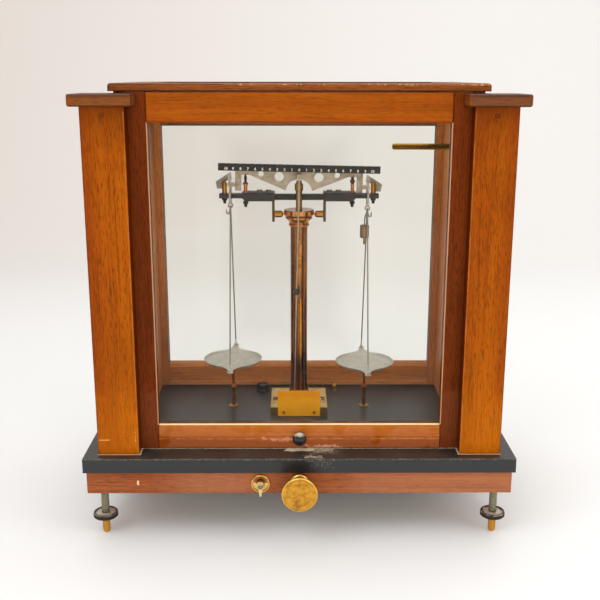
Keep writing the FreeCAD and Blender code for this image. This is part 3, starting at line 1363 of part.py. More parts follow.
# ---------------------------------------------------------------- hangers and pans
def stirrup(side):
    """Bow that straddles an end knife on its agate, with a sloping wing outboard."""
    edge = knife_end(side)
    x0 = edge.x - BOW_WIDTH / 2.0
    x1 = edge.x + BOW_WIDTH / 2.0
    seat = edge.z + KNIFE_GAP + 1.8
    foot = edge.z + BOW_FOOT
    bridge = box(x0, x1, BEAM_Y - BOW_HALF, BEAM_Y + BOW_HALF, seat, seat + 2.0)
    front = box(x0, x1, BEAM_Y - BOW_HALF, BEAM_Y - BOW_HALF + BOW_THICK, foot, seat + 1.0)
    back = box(x0, x1, BEAM_Y + BOW_HALF - BOW_THICK, BEAM_Y + BOW_HALF, foot, seat + 1.0)
    tie = box(x0, x1, BEAM_Y - BOW_HALF, BEAM_Y + BOW_HALF, foot, foot + BOW_THICK)
    y = BEAM_Y + BOW_HALF
    tip = edge.z + BOW_TIP
    fin = slab_of([V(edge.x - 1.0, BEAM_Y - BOW_HALF, seat + 2.0), V(edge.x - 0.5, BEAM_Y - BOW_HALF, tip),
                   V(edge.x + 0.5, BEAM_Y - BOW_HALF, tip), V(edge.x + 1.0, BEAM_Y - BOW_HALF, seat + 2.0),
                   V(edge.x - 1.0, BEAM_Y - BOW_HALF, seat + 2.0)], BACK * (2 * BOW_HALF))
    wing = slab_of([V(edge.x, y, tip), V(edge.x + side * 16.6, y, edge.z - 3.6),
                    V(edge.x + side * 15.2, y, edge.z - 11.4), V(edge.x + side * 9.4, y, edge.z - 11.4),
                    V(edge.x + side * 9.4, y, edge.z - 5.2), V(edge.x, y, edge.z - 0.6),
                    V(edge.x, y, tip)], BACK * -BOW_THICK)
    return bridge.fuse([front, back, tie, fin, wing] + hook(side)).removeSplitter()


def agate(side):
    """Agate plane in a stirrup, over the end knife."""
    edge = knife_end(side)
    low = edge.z + KNIFE_GAP
    return box(edge.x - 1.8, edge.x + 1.8, BEAM_Y - BOW_HALF + BOW_THICK, BEAM_Y + BOW_HALF - BOW_THICK,
               low, low + 1.8)


def hook_pivot(side):
    """Where the pan's wires bear on the hook's eye."""
    edge = knife_end(side)
    return V(edge.x, BEAM_Y, edge.z + BOW_FOOT - 2 * EYE_R + WIRE_R)


def hook(side):
    """Wire eye under the bow, with an open tail that curls up outboard of the wires."""
    bearing = hook_pivot(side)
    centre = bearing.add(UP * (EYE_R - WIRE_R))
    tail = side * HOOK_DROP * 0.36
    points = [centre.sub(UP * EYE_R), bearing.add(V(tail * 0.3, 0, -4.6)),
              bearing.add(V(tail * 0.8, 0, -HOOK_DROP)), bearing.add(V(tail * 1.5, 0, 0.6 - HOOK_DROP)),
              bearing.add(V(tail * 1.6, 0, 4.4 - HOOK_DROP))]
    parts = [Part.makeTorus(EYE_R, WIRE_R, centre, BACK)]
    for start, end in zip(points[:-1], points[1:]):
        parts.append(rod(start, end, WIRE_R))
        parts.append(Part.makeSphere(WIRE_R, end))
    return parts


def tare_head():
    """Middle of the tare weight's top face."""
    crown = wire_crown(1)
    return V(crown.x - TARE_OFFSET, BEAM_Y, TARE_TOP)


def tare_weight():
    """Turned weight that hangs beside the right-hand wires."""
    head = tare_head()
    length = WEIGHT_TARE_LENGTH
    return turned([(1.3, -length - 7.4), (1.3, -length), (WEIGHT_TARE_R - 0.6, -length),
                   (WEIGHT_TARE_R, 0.6 - length), (WEIGHT_TARE_R, -0.6), (WEIGHT_TARE_R - 0.6, 0.0)],
                  head, UP)


def tare_link():
    """Wire from the front shoulder of the right-hand bail to the tare weight."""
    head = tare_head()
    bend = head.add(UP * 7.0)
    shoulder = wire_crown(1).sub(BACK * CROWN_HALF)
    upper = rod(shoulder, bend, WIRE_R)
    return upper.fuse([Part.makeSphere(WIRE_R, bend), rod(head, bend, WIRE_R)]).removeSplitter()


def ear_point(side, way):
    """Top of an ear's ring hole; way is -1 for the front ear and 1 for the rear one."""
    drop = BEAM_HALF * math.sin(math.radians(BEAM_REST_TILT)) * side
    return V(knife_end(side).x, BEAM_Y + way * (EAR_REACH - EAR_RING_R), TOP + PAN_HEIGHT - drop)


def wire_crown(side):
    """Middle of the bail's short level part, where it bears on the hook's eye."""
    return hook_pivot(side).add(UP * (WIRE_R + EYE_PLAY))


def bead_centre(side, way):
    """Centre of the bead that sits in an ear's hole."""
    rise = math.sqrt(BEAD_R ** 2 - EAR_HOLE_R ** 2)
    return ear_point(side, way).add(UP * (PAN_WALL / 2.0 + rise))


def bail(side):
    """Wire bail: a short level part on the hook, a long run to each ear, and a bead at each end."""
    crown = wire_crown(side)
    shoulders = [crown.add(BACK * (way * CROWN_HALF)) for way in (-1, 1)]
    level = rod(shoulders[0], shoulders[1], WIRE_R)
    level = level.fuse([Part.makeSphere(WIRE_R, shoulder) for shoulder in shoulders]).removeSplitter()
    parts = [level]
    for way, shoulder in zip((-1, 1), shoulders):
        centre = bead_centre(side, way)
        bead = Part.makeSphere(BEAD_R, centre)
        parts.extend([rod(shoulder, centre, WIRE_R).cut([level, bead]), bead])
    if side > 0:
        parts.append(tare_link().cut(parts))
    return parts


def pan(side):
    """Spun dish with a pointed, pierced ear at the front and the back."""
    centre = V(knife_end(side).x, BEAM_Y, ear_point(side, 1).z)
    rim = PAN_R
    outer = turned([(rim - 9.0, -PAN_DEPTH - PAN_WALL / 2.0),
                    ((rim - 2.4, -PAN_DEPTH * 0.62), (rim, PAN_WALL / 2.0))], centre, UP)
    inner = turned([(rim - 9.4, -PAN_DEPTH + PAN_WALL / 2.0),
                    ((rim - 3.3, -PAN_DEPTH * 0.55), (rim - PAN_WALL, PAN_WALL / 2.0))], centre, UP)
    dish = outer.cut(inner)
    low = -PAN_WALL / 2.0
    ears = []
    for way in (-1, 1):
        root_y = way * math.sqrt(rim ** 2 - EAR_ROOT ** 2)
        tip_y = way * EAR_REACH
        neck_y = way * (EAR_REACH - 2 * EAR_RING_R)
        mid_y = root_y + (neck_y - root_y) * 0.42
        tip_mid = EAR_RING_R * 0.86
        flank = EAR_RING_R * 0.8 + (EAR_ROOT - EAR_RING_R) * 0.34
        outline = [V(-EAR_ROOT, root_y - way * 1.5, low), V(-EAR_ROOT, root_y, low),
                   (V(-flank, mid_y, low), V(-tip_mid, neck_y, low)),
                   (V(0, tip_y, low), V(tip_mid, neck_y, low)),
                   (V(flank, mid_y, low), V(EAR_ROOT, root_y, low)),
                   V(EAR_ROOT, root_y - way * 1.5, low), V(-EAR_ROOT, root_y - way * 1.5, low)]
        ear = slab_of(outline, UP * PAN_WALL)
        hole = V(0, way * (EAR_REACH - EAR_RING_R), low - 1)
        ear = ear.cut(rod(hole, hole.add(UP * 4.0), EAR_HOLE_R))
        ear.translate(centre)
        well = turned([(rim - PAN_WALL, -PAN_DEPTH), (rim - PAN_WALL, PAN_DEPTH)], centre, UP)
        ears.append(ear.cut(well))
    return dish.fuse(ears).removeSplitter()


# ---------------------------------------------------------------- rider carrier
def carrier_bush():
    """Flanged bush for the rider rod."""
    z = CARRIER_Z
    body = turned([(CARRIER_R + 1.4, 0.0), (CARRIER_R + 1.4, SIDE_THICK), (CARRIER_BUSH_R, SIDE_THICK),
                   (CARRIER_BUSH_R, SIDE_THICK + CARRIER_BUSH_FLANGE - 0.6),
                   (CARRIER_BUSH_R - 0.6, SIDE_THICK + CARRIER_BUSH_FLANGE)],
                  V(SIDE_INNER, BEAM_Y, z), RIGHT)
    start = V(SIDE_INNER - 1, BEAM_Y, z)
    return body.cut(rod(start, start.add(RIGHT * (SIDE_THICK + CARRIER_BUSH_FLANGE + 2)),
                        CARRIER_R + RUNNING_FIT))


def rider_rod():
    """Round-ended rod that carries the rider, with its outer knob."""
    length = CARRIER_OUTER_END - CARRIER_INNER_END
    knob = length - CARRIER_KNOB_WIDE
    nose = CARRIER_R * 0.5
    return turned([(0.4, 0.0), ((CARRIER_R * 0.78, nose * 0.4), (CARRIER_R, nose * 2.0)), (CARRIER_R, knob),
                   (CARRIER_KNOB_R - 0.8, knob), (CARRIER_KNOB_R, knob + 0.8),
                   (CARRIER_KNOB_R, length - 1.6), ((CARRIER_KNOB_R - 0.5, length - 0.5),
                                                    (CARRIER_KNOB_R - 1.6, length))],
                  V(CARRIER_INNER_END, BEAM_Y, CARRIER_Z), RIGHT)


# ---------------------------------------------------------------- every node
def case_nodes():
    """Nodes of the case, which stands still."""
    return {
        "base_slab": base_slab(),
        "apron_rails": group([apron_front_rail(), apron_back_rail()] + apron_side_rails().Solids
                             + corner_blocks().Solids + [rear_foot_block()]),
        "rear_foot": rear_foot(),
        "column_boards": both(group(column_boards().Solids + column_linings().Solids + [column_plug()])),
        "column_caps": both(column_cap()),
        "pulley_pins": both(group([pulley_pin()] + pulley_washers().Solids)),
        "cord_loops": both(cord_loop()),
        "side_frames": both(group(side_stiles().Solids + side_rails().Solids)),
        "rear_frame": group(rear_stiles().Solids + rear_rails().Solids),
        "lid_rails": lid_rails(),
        "carcass_panes": group(side_panes().Solids + [rear_pane(), lid_pane()]),
        "pillar_base": pillar_base(),
        "index_plate": index_plate(),
        "pillar_tube": pillar_tube(),
        "knife_post": knife_post(),
        "knife_plane": knife_plane(),
        "spirit_level": group([spirit_level(), level_glass()]),
        "ball_stud": ball_stud(),
        "front_escutcheons": group([knob_collar(), brake_ring()]),
        "shaft_brackets": shaft_brackets(),
        "guide_bushes": group(brake_bushes().Solids + foot_bushes().Solids + [carrier_bush()]),
        "carrier_plate": carrier_plate(),
        "case_screws": group([block_screws(), plate_screws(), ring_screws()]),
    }


def sash_nodes():
    """Nodes of the sash, its cords, counterweights and pulleys."""
    return {
        "sash_stiles": sash_stiles(),
        "sash_rails": group([sash_top_rail(), sash_bottom_rail()]),
        "sash_pane": sash_pane_box(0.0),
        "sash_knob": sash_knob(),
        "sash_lugs": sash_lugs(),
        "sash_cords": both(sash_cord()),
        "left_weight": mirrored(sash_weight()),
        "right_weight": sash_weight(),
        "left_weight_cord": mirrored(weight_cord()),
        "right_weight_cord": weight_cord(),
        "left_pulley": mirrored(pulley()),
        "right_pulley": pulley(),
    }


def balance_nodes():
    """Nodes of the beam, the arrestment, the pan brakes and the pans."""
    return {
        "beam_truss": tilted(group([truss()] + knife_carriers().Solids)),
        "rider_bar": tilted(rider_bar()),
        "knives": tilted(knives()),
        "pointer": tilted(pointer()),
        "gravity_bob": tilted(gravity_bob()),
        "arrest_arms": group(both(arrest_arm()).Solids + [arrest_bar()]),
        "arrest_fasteners": group(arrest_screws().Solids + arrest_nuts().Solids),
        "arrest_pins": group([left_pin(), right_pin()]),
        "stirrup_supports": stirrup_supports(),
        "arrest_guides": group(guide_bars().Solids + guide_studs().Solids),
        "push_rod": push_rod(),
        "arrest_knob": arrest_knob(),
        "arrest_shaft": group([arrest_shaft(), lift_cam()]),
        "brake_lever": brake_lever(),
        "brake_shaft": group([brake_shaft(), brake_cam()]),
        "brake_yoke": brake_yoke(),
        "brake_stems": group(brake_stems().Solids + brake_pads().Solids),
        "left_stirrup": group([stirrup(-1), agate(-1)]),
        "right_stirrup": group([stirrup(1), agate(1)]),
        "tare_weight": tare_weight(),
        "left_pan": group([pan(-1)] + bail(-1)),
        "right_pan": group([pan(1)] + bail(1)),
        "rider_rod": rider_rod(),
        "left_foot": mirrored(group([foot_screw(), foot_tip()])),
        "right_foot": group([foot_screw(), foot_tip()]),
    }


def write(made):
    """One STEP file for each node."""
    os.makedirs("parts", exist_ok=True)
    for name, shape in made.items():
        shape.exportStep("parts/" + name + ".step")


write({**case_nodes(), **sash_nodes(), **balance_nodes()})
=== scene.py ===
"""Looks of the prescription balance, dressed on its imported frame. Metres, +Z up, front faces -Y."""

import json
import logging
import math
from dataclasses import dataclass
from enum import Enum
from typing import Dict, List, Optional, Sequence, Tuple, Union

import bmesh
import bpy
from mathutils import Matrix, Vector

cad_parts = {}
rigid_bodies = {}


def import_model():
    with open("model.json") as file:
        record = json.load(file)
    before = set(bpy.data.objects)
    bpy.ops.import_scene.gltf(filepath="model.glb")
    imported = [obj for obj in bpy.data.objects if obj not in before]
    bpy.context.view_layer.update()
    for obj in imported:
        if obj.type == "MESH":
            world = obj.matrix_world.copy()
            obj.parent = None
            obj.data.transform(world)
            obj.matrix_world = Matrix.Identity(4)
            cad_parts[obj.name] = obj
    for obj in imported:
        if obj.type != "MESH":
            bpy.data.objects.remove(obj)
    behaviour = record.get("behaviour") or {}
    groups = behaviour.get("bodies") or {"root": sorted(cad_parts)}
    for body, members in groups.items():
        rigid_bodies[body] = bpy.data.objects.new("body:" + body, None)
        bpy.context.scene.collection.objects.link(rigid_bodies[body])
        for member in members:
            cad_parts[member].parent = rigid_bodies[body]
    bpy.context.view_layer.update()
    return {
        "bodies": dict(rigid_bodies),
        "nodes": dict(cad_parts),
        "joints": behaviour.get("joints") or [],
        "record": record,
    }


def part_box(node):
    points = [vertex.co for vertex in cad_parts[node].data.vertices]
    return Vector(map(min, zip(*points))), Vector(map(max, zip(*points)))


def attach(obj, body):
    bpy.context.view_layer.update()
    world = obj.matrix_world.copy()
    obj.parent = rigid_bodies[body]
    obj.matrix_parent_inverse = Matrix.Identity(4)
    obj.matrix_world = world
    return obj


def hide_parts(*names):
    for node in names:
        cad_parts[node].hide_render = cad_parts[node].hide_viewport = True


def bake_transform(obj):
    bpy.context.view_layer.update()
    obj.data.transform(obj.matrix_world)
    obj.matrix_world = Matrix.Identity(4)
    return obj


LOG = logging.getLogger("balance")

Triple = Tuple[float, float, float]
Colour = Union[str, Triple]
Span = Tuple[float, float]
Box = Tuple[Triple, Triple]
Effects = Dict[str, bpy.types.NodeTree]
Socket = bpy.types.NodeSocket
Value = Union[Socket, float, Sequence[float], str]
PER_METRE = 1000.0
BEYOND = 1.0
EDGE_SAMPLES = 4


def linear(colour: Colour) -> Triple:
    """Colour in linear light.

    Args:
        colour: Screen colour as six hex digits, or a colour that is linear already.

    Returns:
        Its red, green and blue.
    """
    if not isinstance(colour, str):
        return colour
    shares = [value / 255.0 for value in bytes.fromhex(colour)]
    return tuple(share / 12.92 if share <= 0.04045 else ((share + 0.055) / 1.055) ** 2.4 for share in shares)


def paler(colour: Colour, gain: float, lift: float = 0.0) -> Triple:
    """Colour times a gain plus a lift, up to white; a gain below 1 darkens it."""
    return tuple(min(value * gain + lift, 1.0) for value in linear(colour))


class Axis(Enum):
    """Direction in which grain, a turning axis or a brush mark runs."""

    X = 0
    Y = 1
    Z = 2


# ------------------------------------------------------------------ node graphs
class Graph:
    """Adds and links nodes in one node tree.

    Args:
        tree: The node tree to build in.
    """

    def __init__(self, tree: bpy.types.NodeTree) -> None:
        """Starts on a tree."""
        self.tree = tree

    def add(self, kind: str, settings: Optional[Dict[str, object]] = None,
            inputs: Optional[Dict[Union[str, int], Value]] = None) -> bpy.types.Node:
        """A new node.

        Args:
            kind: The node's type name after "ShaderNode".
            settings: Properties to set on it.
            inputs: Values or sockets for its inputs, by name or index.

        Returns:
            The node.
        """
        node = self.tree.nodes.new("ShaderNode" + kind)
        for name, value in (settings or {}).items():
            setattr(node, name, value)
        self.fill(node, inputs or {})
        return node

    def fill(self, node: bpy.types.Node, inputs: Dict[Union[str, int], Value]) -> None:
        """Sets or links inputs of a node, by name or index."""
        for name, value in inputs.items():
            self.put(node.inputs[name], value)

    def put(self, socket: Socket, value: Value) -> None:
        """Links a socket to an input, or sets the input's value.

        Args:
            socket: The input.
            value: A socket, a number, a vector or a colour.
        """
        if isinstance(value, bpy.types.NodeSocket):
            self.tree.links.new(value, socket)
        elif socket.type == "RGBA":
            socket.default_value = (*linear(value), 1.0)
        else:
            socket.default_value = value

    def calc(self, operation: str, first: Value, second: Value = 0.0, third: Value = 0.0) -> Socket:
        """Result of a Math node."""
        return self.add("Math", {"operation": operation}, {0: first, 1: second, 2: third}).outputs[0]

    def times(self, first: Value, second: Value) -> Socket:
        """Product of two values."""
        return self.calc("MULTIPLY", first, second)

    def plus(self, first: Value, second: Value) -> Socket:
        """Sum of two values."""
        return self.calc("ADD", first, second)

    def vector(self, operation: str, first: Value, second: Value = (0.0, 0.0, 0.0)) -> Socket:
        """Result of a Vector Math node."""
        node = self.add("VectorMath", {"operation": operation}, {0: first, 1: second})
        return node.outputs["Value" if operation in {"LENGTH", "DOT_PRODUCT"} else "Vector"]

    def stretch(self, first: Value, x: float, y: float, z: float) -> Socket:
        """Vector multiplied by a number for each axis."""
        return self.vector("MULTIPLY", first, (x, y, z))

    def place(self) -> Socket:
        """Object coordinates, which are the frame's own metres."""
        return self.add("TexCoord").outputs["Object"]

    def split(self, vector: Value) -> bpy.types.bpy_prop_collection:
        """The three parts of a vector."""
        return self.add("SeparateXYZ", {}, {0: vector}).outputs

    def join(self, x: Value, y: Value, z: Value) -> Socket:
        """Vector made from three parts."""
        return self.add("CombineXYZ", {}, {0: x, 1: y, 2: z}).outputs[0]

    def noise(self, vector: Value, scale: Value, detail: float = 3.0, rough: float = 0.55,
              warp: float = 0.0, output: int = 0) -> Socket:
        """Output of a 3-D noise: its value, or its colour as output 1."""
        return self.add("TexNoise", {}, {"Vector": vector, "Scale": scale, "Detail": detail, "Roughness": rough,
                                         "Distortion": warp}).outputs[output]

    def remap(self, value: Value, low: float, high: float, to_low: float = 0.0, to_high: float = 1.0) -> Socket:
        """Value moved smoothly from one range to another, clamped."""
        return self.add("MapRange", {"interpolation_type": "SMOOTHSTEP", "clamp": True},
                        {0: value, 1: low, 2: high, 3: to_low, 4: to_high}).outputs[0]

    def between(self, share: Value, first: Value, second: Value) -> Socket:
        """Number between two numbers."""
        return self.add("Mix", {}, {0: share, 2: first, 3: second}).outputs[0]

    def pick(self, share: Value, first: Value, second: Value) -> Socket:
        """Vector between two vectors."""
        return self.add("Mix", {"data_type": "VECTOR"}, {0: share, 4: first, 5: second}).outputs[1]

    def blend(self, share: Value, first: Value, second: Value) -> Socket:
        """Colour between two colours."""
        return self.add("Mix", {"data_type": "RGBA", "blend_type": "MIX", "clamp_factor": True},
                        {0: share, 6: first, 7: second}).outputs[2]

    def use(self, group: bpy.types.NodeTree, inputs: Dict[str, Value]) -> bpy.types.bpy_prop_collection:
        """Outputs of an instance of a node group."""
        return self.add("Group", {"node_tree": group}, inputs).outputs


class EffectGroup:
    """A shared effect, built once as a shader node group.

    Args:
        name: The group's name.
        inputs: Names of the inputs with their defaults; a name that ends in * is a colour.
        outputs: Names of the outputs; a name that ends in * is a colour, one that ends in + a vector.
    """

    made: Effects = {}

    def __init__(self, name: str, inputs: Dict[str, Optional[Value]], outputs: Sequence[str]) -> None:
        """Makes the group and its sockets; see the class for the arguments."""
        self.tree = bpy.data.node_groups.new(name, "ShaderNodeTree")
        for label, default in inputs.items():
            kind = "Float" if isinstance(default, float) else "Color" if label.endswith("*") else "Vector"
            socket = self.tree.interface.new_socket(name=label.rstrip("*"), in_out="INPUT",
                                                    socket_type="NodeSocket" + kind)
            if default is not None:
                socket.default_value = (*default, 1.0) if kind == "Color" else default
        for label in outputs:
            kind = {"*": "Color", "+": "Vector"}.get(label[-1], "Float")
            self.tree.interface.new_socket(name=label.rstrip("*+"), in_out="OUTPUT",
                                           socket_type="NodeSocket" + kind)
        self.graph = Graph(self.tree)
        self.source = self.tree.nodes.new("NodeGroupInput")
        self.target = self.tree.nodes.new("NodeGroupOutput")
        EffectGroup.made[name] = self.tree

    def __getitem__(self, label: str) -> Socket:
        """An input of the group, as a socket inside it."""
        return self.source.outputs[label]

    def __setitem__(self, label: str, value: Value) -> None:
        """Sets an output of the group."""
        self.graph.put(self.target.inputs[label], value)


NOWHERE = (0.0, 0.0, 0.0)


def grain_group() -> None:
    """Open-pored wood: figure, streaks and short dark pores along the vector's Z."""
    group = EffectGroup("Wood grain", {"Vector": None, "Pale*": (0.4, 0.1, 0.01), "Mid*": (0.3, 0.08, 0.01),
                                       "Deep*": (0.1, 0.02, 0.01), "Pores": 0.6, "Figure": 0.5},
                        ["Color*", "Height", "Pores"])
    graph, at, deep = group.graph, group["Vector"], group["Deep"]
    wander = graph.noise(graph.stretch(at, 5.0, 5.0, 3.0), 1.0, 1.0, 0.5, output=1)
    centred = graph.vector("SUBTRACT", wander, (0.5, 0.5, 0.5))
    lane = graph.vector("ADD", at, graph.stretch(centred, 0.012, 0.012, 0.0))
    bands = graph.noise(graph.stretch(lane, 55.0, 55.0, 2.6), 1.0)
    streaks = graph.noise(graph.stretch(lane, 560.0, 560.0, 10.0), 1.0, 4.0, 0.6)
    cloud = graph.noise(graph.stretch(at, 16.0, 16.0, 9.0), 1.0)
    pores = graph.remap(graph.noise(graph.stretch(lane, 1500.0, 1500.0, 120.0), 1.0, 2.0, 0.5), 0.53, 0.64)
    figure = graph.times(graph.remap(bands, 0.30, 0.72), group["Figure"])
    base = graph.blend(figure, group["Pale"], group["Mid"])
    base = graph.blend(graph.times(graph.remap(streaks, 0.45, 0.80), 0.62), base, deep)
    base = graph.blend(graph.times(graph.remap(cloud, 0.50, 0.85), 0.35), base, deep)
    share = graph.times(pores, group["Pores"])
    group["Color"] = graph.blend(share, base, graph.stretch(deep, 0.45, 0.45, 0.45))
    group["Height"] = graph.calc("SUBTRACT", graph.times(streaks, 0.3), pores)
    group["Pores"] = share


def lane_group() -> None:
    """Object coordinates turned so that the grain runs along Z, and changed inside a box."""
    group = EffectGroup("Board lay", {"Low": NOWHERE, "High": NOWHERE, "Main axis": 2.0, "Inner axis": 2.0,
                                      "Shift": 0.0}, ["Vector+", "Joint"])
    graph = group.graph
    parts = graph.split(graph.place())
    turned = [graph.join(parts[a], parts[b], parts[c]) for a, b, c in ((1, 2, 0), (2, 0, 1), (0, 1, 2))]
    main, inner = [
        graph.pick(graph.calc("COMPARE", axis, 2.0, 0.1),
                   graph.pick(graph.calc("COMPARE", axis, 1.0, 0.1), turned[0], turned[1]), turned[2])
        for axis in (group["Main axis"], group["Inner axis"])]
    low, high = graph.split(group["Low"]), graph.split(group["High"])
    inside: Value = 1.0
    nearest: Value = 1.0
    for index, value in enumerate((graph.calc("ABSOLUTE", parts[0]), parts[1], parts[2])):
        inside = graph.times(inside, graph.calc("GREATER_THAN", value, low[index]))
        inside = graph.times(inside, graph.calc("LESS_THAN", value, high[index]))
        for edge in (low[index], high[index]):
            gap = graph.calc("ABSOLUTE", graph.calc("SUBTRACT", value, edge))
            nearest = graph.calc("MINIMUM", nearest, gap)
    run = graph.between(inside, group["Main axis"], group["Inner axis"])
    right = graph.times(graph.calc("GREATER_THAN", parts[0], 0.0), graph.calc("GREATER_THAN", run, 0.5))
    step = graph.times(graph.plus(inside, right), 0.37)
    offset = graph.join(graph.plus(step, group["Shift"]), step, step)
    group["Vector"] = graph.vector("ADD", graph.pick(inside, main, inner), offset)
    group["Joint"] = graph.remap(nearest, 0.00008, 0.00035, 1.0, 0.0)


def edge_group() -> None:
    """Mask along outer edges, broken up by noise."""
    group = EffectGroup("Edge wear", {"Width": 0.001, "Break": 0.5, "Scale": 200.0}, ["Mask", "Soft"])
    graph = group.graph
    bevel = graph.add("Bevel", {"samples": EDGE_SAMPLES}, {"Radius": group["Width"]}).outputs[0]
    flat = graph.add("NewGeometry").outputs["Normal"]
    soft = graph.remap(graph.calc("SUBTRACT", 1.0, graph.vector("DOT_PRODUCT", bevel, flat)), 0.01, 0.22)
    patch = graph.noise(graph.place(), group["Scale"], 5.0, 0.65)
    group["Mask"] = graph.times(soft, graph.calc("GREATER_THAN", patch, group["Break"]))
    group["Soft"] = soft


def dust_group() -> None:
    """Mask of dust that lies on faces turned upward."""
    group = EffectGroup("Dust", {"Amount": 0.3, "Scale": 60.0}, ["Mask"])
    graph = group.graph
    up = graph.split(graph.add("NewGeometry").outputs["Normal"])[2]
    drift = graph.noise(graph.place(), group["Scale"], 6.0, 0.7)
    lying = graph.times(graph.remap(up, 0.3, 0.95), graph.remap(drift, 0.35, 0.75))
    group["Mask"] = graph.times(lying, group["Amount"])


def tarnish_group() -> None:
    """Uneven tarnish, fine scratches and finger marks on metal."""
    group = EffectGroup("Tarnish", {"Vector": None, "Bright*": (0.6, 0.4, 0.1), "Dull*": (0.2, 0.1, 0.03),
                                    "Amount": 0.5, "Scale": 120.0}, ["Color*", "Roughness", "Height"])
    graph, at = group.graph, group["Vector"]
    patch = graph.noise(at, group["Scale"], 6.0, 0.68, 0.4)
    speck = graph.noise(at, 1500.0, 2.0)
    scratch = graph.noise(graph.stretch(at, 2600.0, 300.0, 900.0), 1.0, 2.0)
    share = graph.times(graph.remap(patch, 0.38, 0.72), group["Amount"])
    spots = graph.times(graph.remap(speck, 0.66, 0.76), 0.45)
    tarnished = graph.calc("MAXIMUM", share, spots)
    group["Color"] = graph.blend(tarnished, group["Bright"], group["Dull"])
    group["Roughness"] = graph.plus(graph.times(share, 0.28), graph.times(scratch, 0.12))
    group["Height"] = graph.plus(graph.times(scratch, 0.5), graph.times(speck, 0.5))


def ring_group() -> None:
    """Fine turning rings round an axis through a point."""
    group = EffectGroup("Turning", {"Vector": None, "Centre": NOWHERE, "Across": (1.0, 0.0, 1.0),
                                    "Pitch": 2600.0}, ["Height", "Radius"])
    graph = group.graph
    arm = graph.vector("SUBTRACT", group["Vector"], group["Centre"])
    radius = graph.vector("LENGTH", graph.vector("MULTIPLY", arm, group["Across"]))
    ring = graph.add("TexNoise", {"noise_dimensions": "1D"},
                     {"W": graph.times(radius, group["Pitch"]), "Scale": 1.0, "Detail": 2.0})
    group["Height"] = ring.outputs[0]
    group["Radius"] = radius


def thread_group() -> None:
    """Screw thread round a vertical axis."""
    group = EffectGroup("Thread", {"Vector": None, "Centre": NOWHERE, "Pitch": 0.00125}, ["Height"])
    graph = group.graph
    parts = graph.split(graph.vector("SUBTRACT", group["Vector"], group["Centre"]))
    turn = graph.calc("DIVIDE", graph.calc("ARCTAN2", parts[1], parts[0]), 2.0 * math.pi)
    climb = graph.calc("SUBTRACT", graph.calc("DIVIDE", parts[2], group["Pitch"]), turn)
    group["Height"] = graph.calc("PINGPONG", climb, 0.5)


def brush_group() -> None:
    """Straight brush marks along one direction."""
    group = EffectGroup("Brushing", {"Vector": None, "Squeeze": (30.0, 3000.0, 3000.0)}, ["Height"])
    squeezed = group.graph.vector("MULTIPLY", group["Vector"], group["Squeeze"])
    group["Height"] = group.graph.noise(squeezed, 1.0)


def streak_group() -> None:
    """Painted reflections: uneven bands that run down a turned tube."""
    group = EffectGroup("Streaks", {"Vector": None, "Centre": NOWHERE, "Count": 3.0, "Along": 6.0},
                        ["Broad", "Fine"])
    graph = group.graph
    parts = graph.split(graph.vector("SUBTRACT", group["Vector"], group["Centre"]))
    turn = graph.calc("ARCTAN2", parts[1], parts[0])
    around = [graph.times(graph.calc(kind, turn), group["Count"]) for kind in ("SINE", "COSINE")]
    at = graph.join(around[0], around[1], graph.times(parts[2], group["Along"]))
    group["Broad"] = graph.noise(at, 1.0, 1.0)
    group["Fine"] = graph.noise(graph.stretch(at, 3.5, 3.5, 1.0), 1.0, 4.0, 0.65)


def patch_group() -> None:
    """Mask inside a box, with a soft and ragged border."""
    group = EffectGroup("Patch", {"Vector": None, "Low": NOWHERE, "High": NOWHERE, "Both sides": 0.0,
                                  "Soft": 0.001, "Ragged": 0.0, "Scale": 300.0}, ["Mask"])
    graph, at = group.graph, group["Vector"]
    parts, low, high = graph.split(at), graph.split(group["Low"]), graph.split(group["High"])
    folded = graph.between(group["Both sides"], parts[0], graph.calc("ABSOLUTE", parts[0]))
    depth: Value = 1.0
    for index, value in enumerate((folded, parts[1], parts[2])):
        depth = graph.calc("MINIMUM", depth, graph.calc("SUBTRACT", value, low[index]))
        depth = graph.calc("MINIMUM", depth, graph.calc("SUBTRACT", high[index], value))
    drift = graph.noise(at, group["Scale"], 4.0, 0.6)
    sway = graph.times(graph.times(graph.calc("SUBTRACT", drift, 0.56), group["Ragged"]), 5.0)
    bent = graph.calc("DIVIDE", graph.plus(depth, sway), group["Soft"])
    group["Mask"] = graph.remap(bent, 0.0, 1.0)


def build_effects() -> Effects:
    """Builds every shared effect once.

    Returns:
        The node groups by name.
    """
    for maker in (grain_group, lane_group, edge_group, dust_group, tarnish_group, ring_group,
                  thread_group, brush_group, streak_group, patch_group):
        maker()
    return EffectGroup.made


# ------------------------------------------------------------------ finishes
ALL = (-900.0, 900.0)


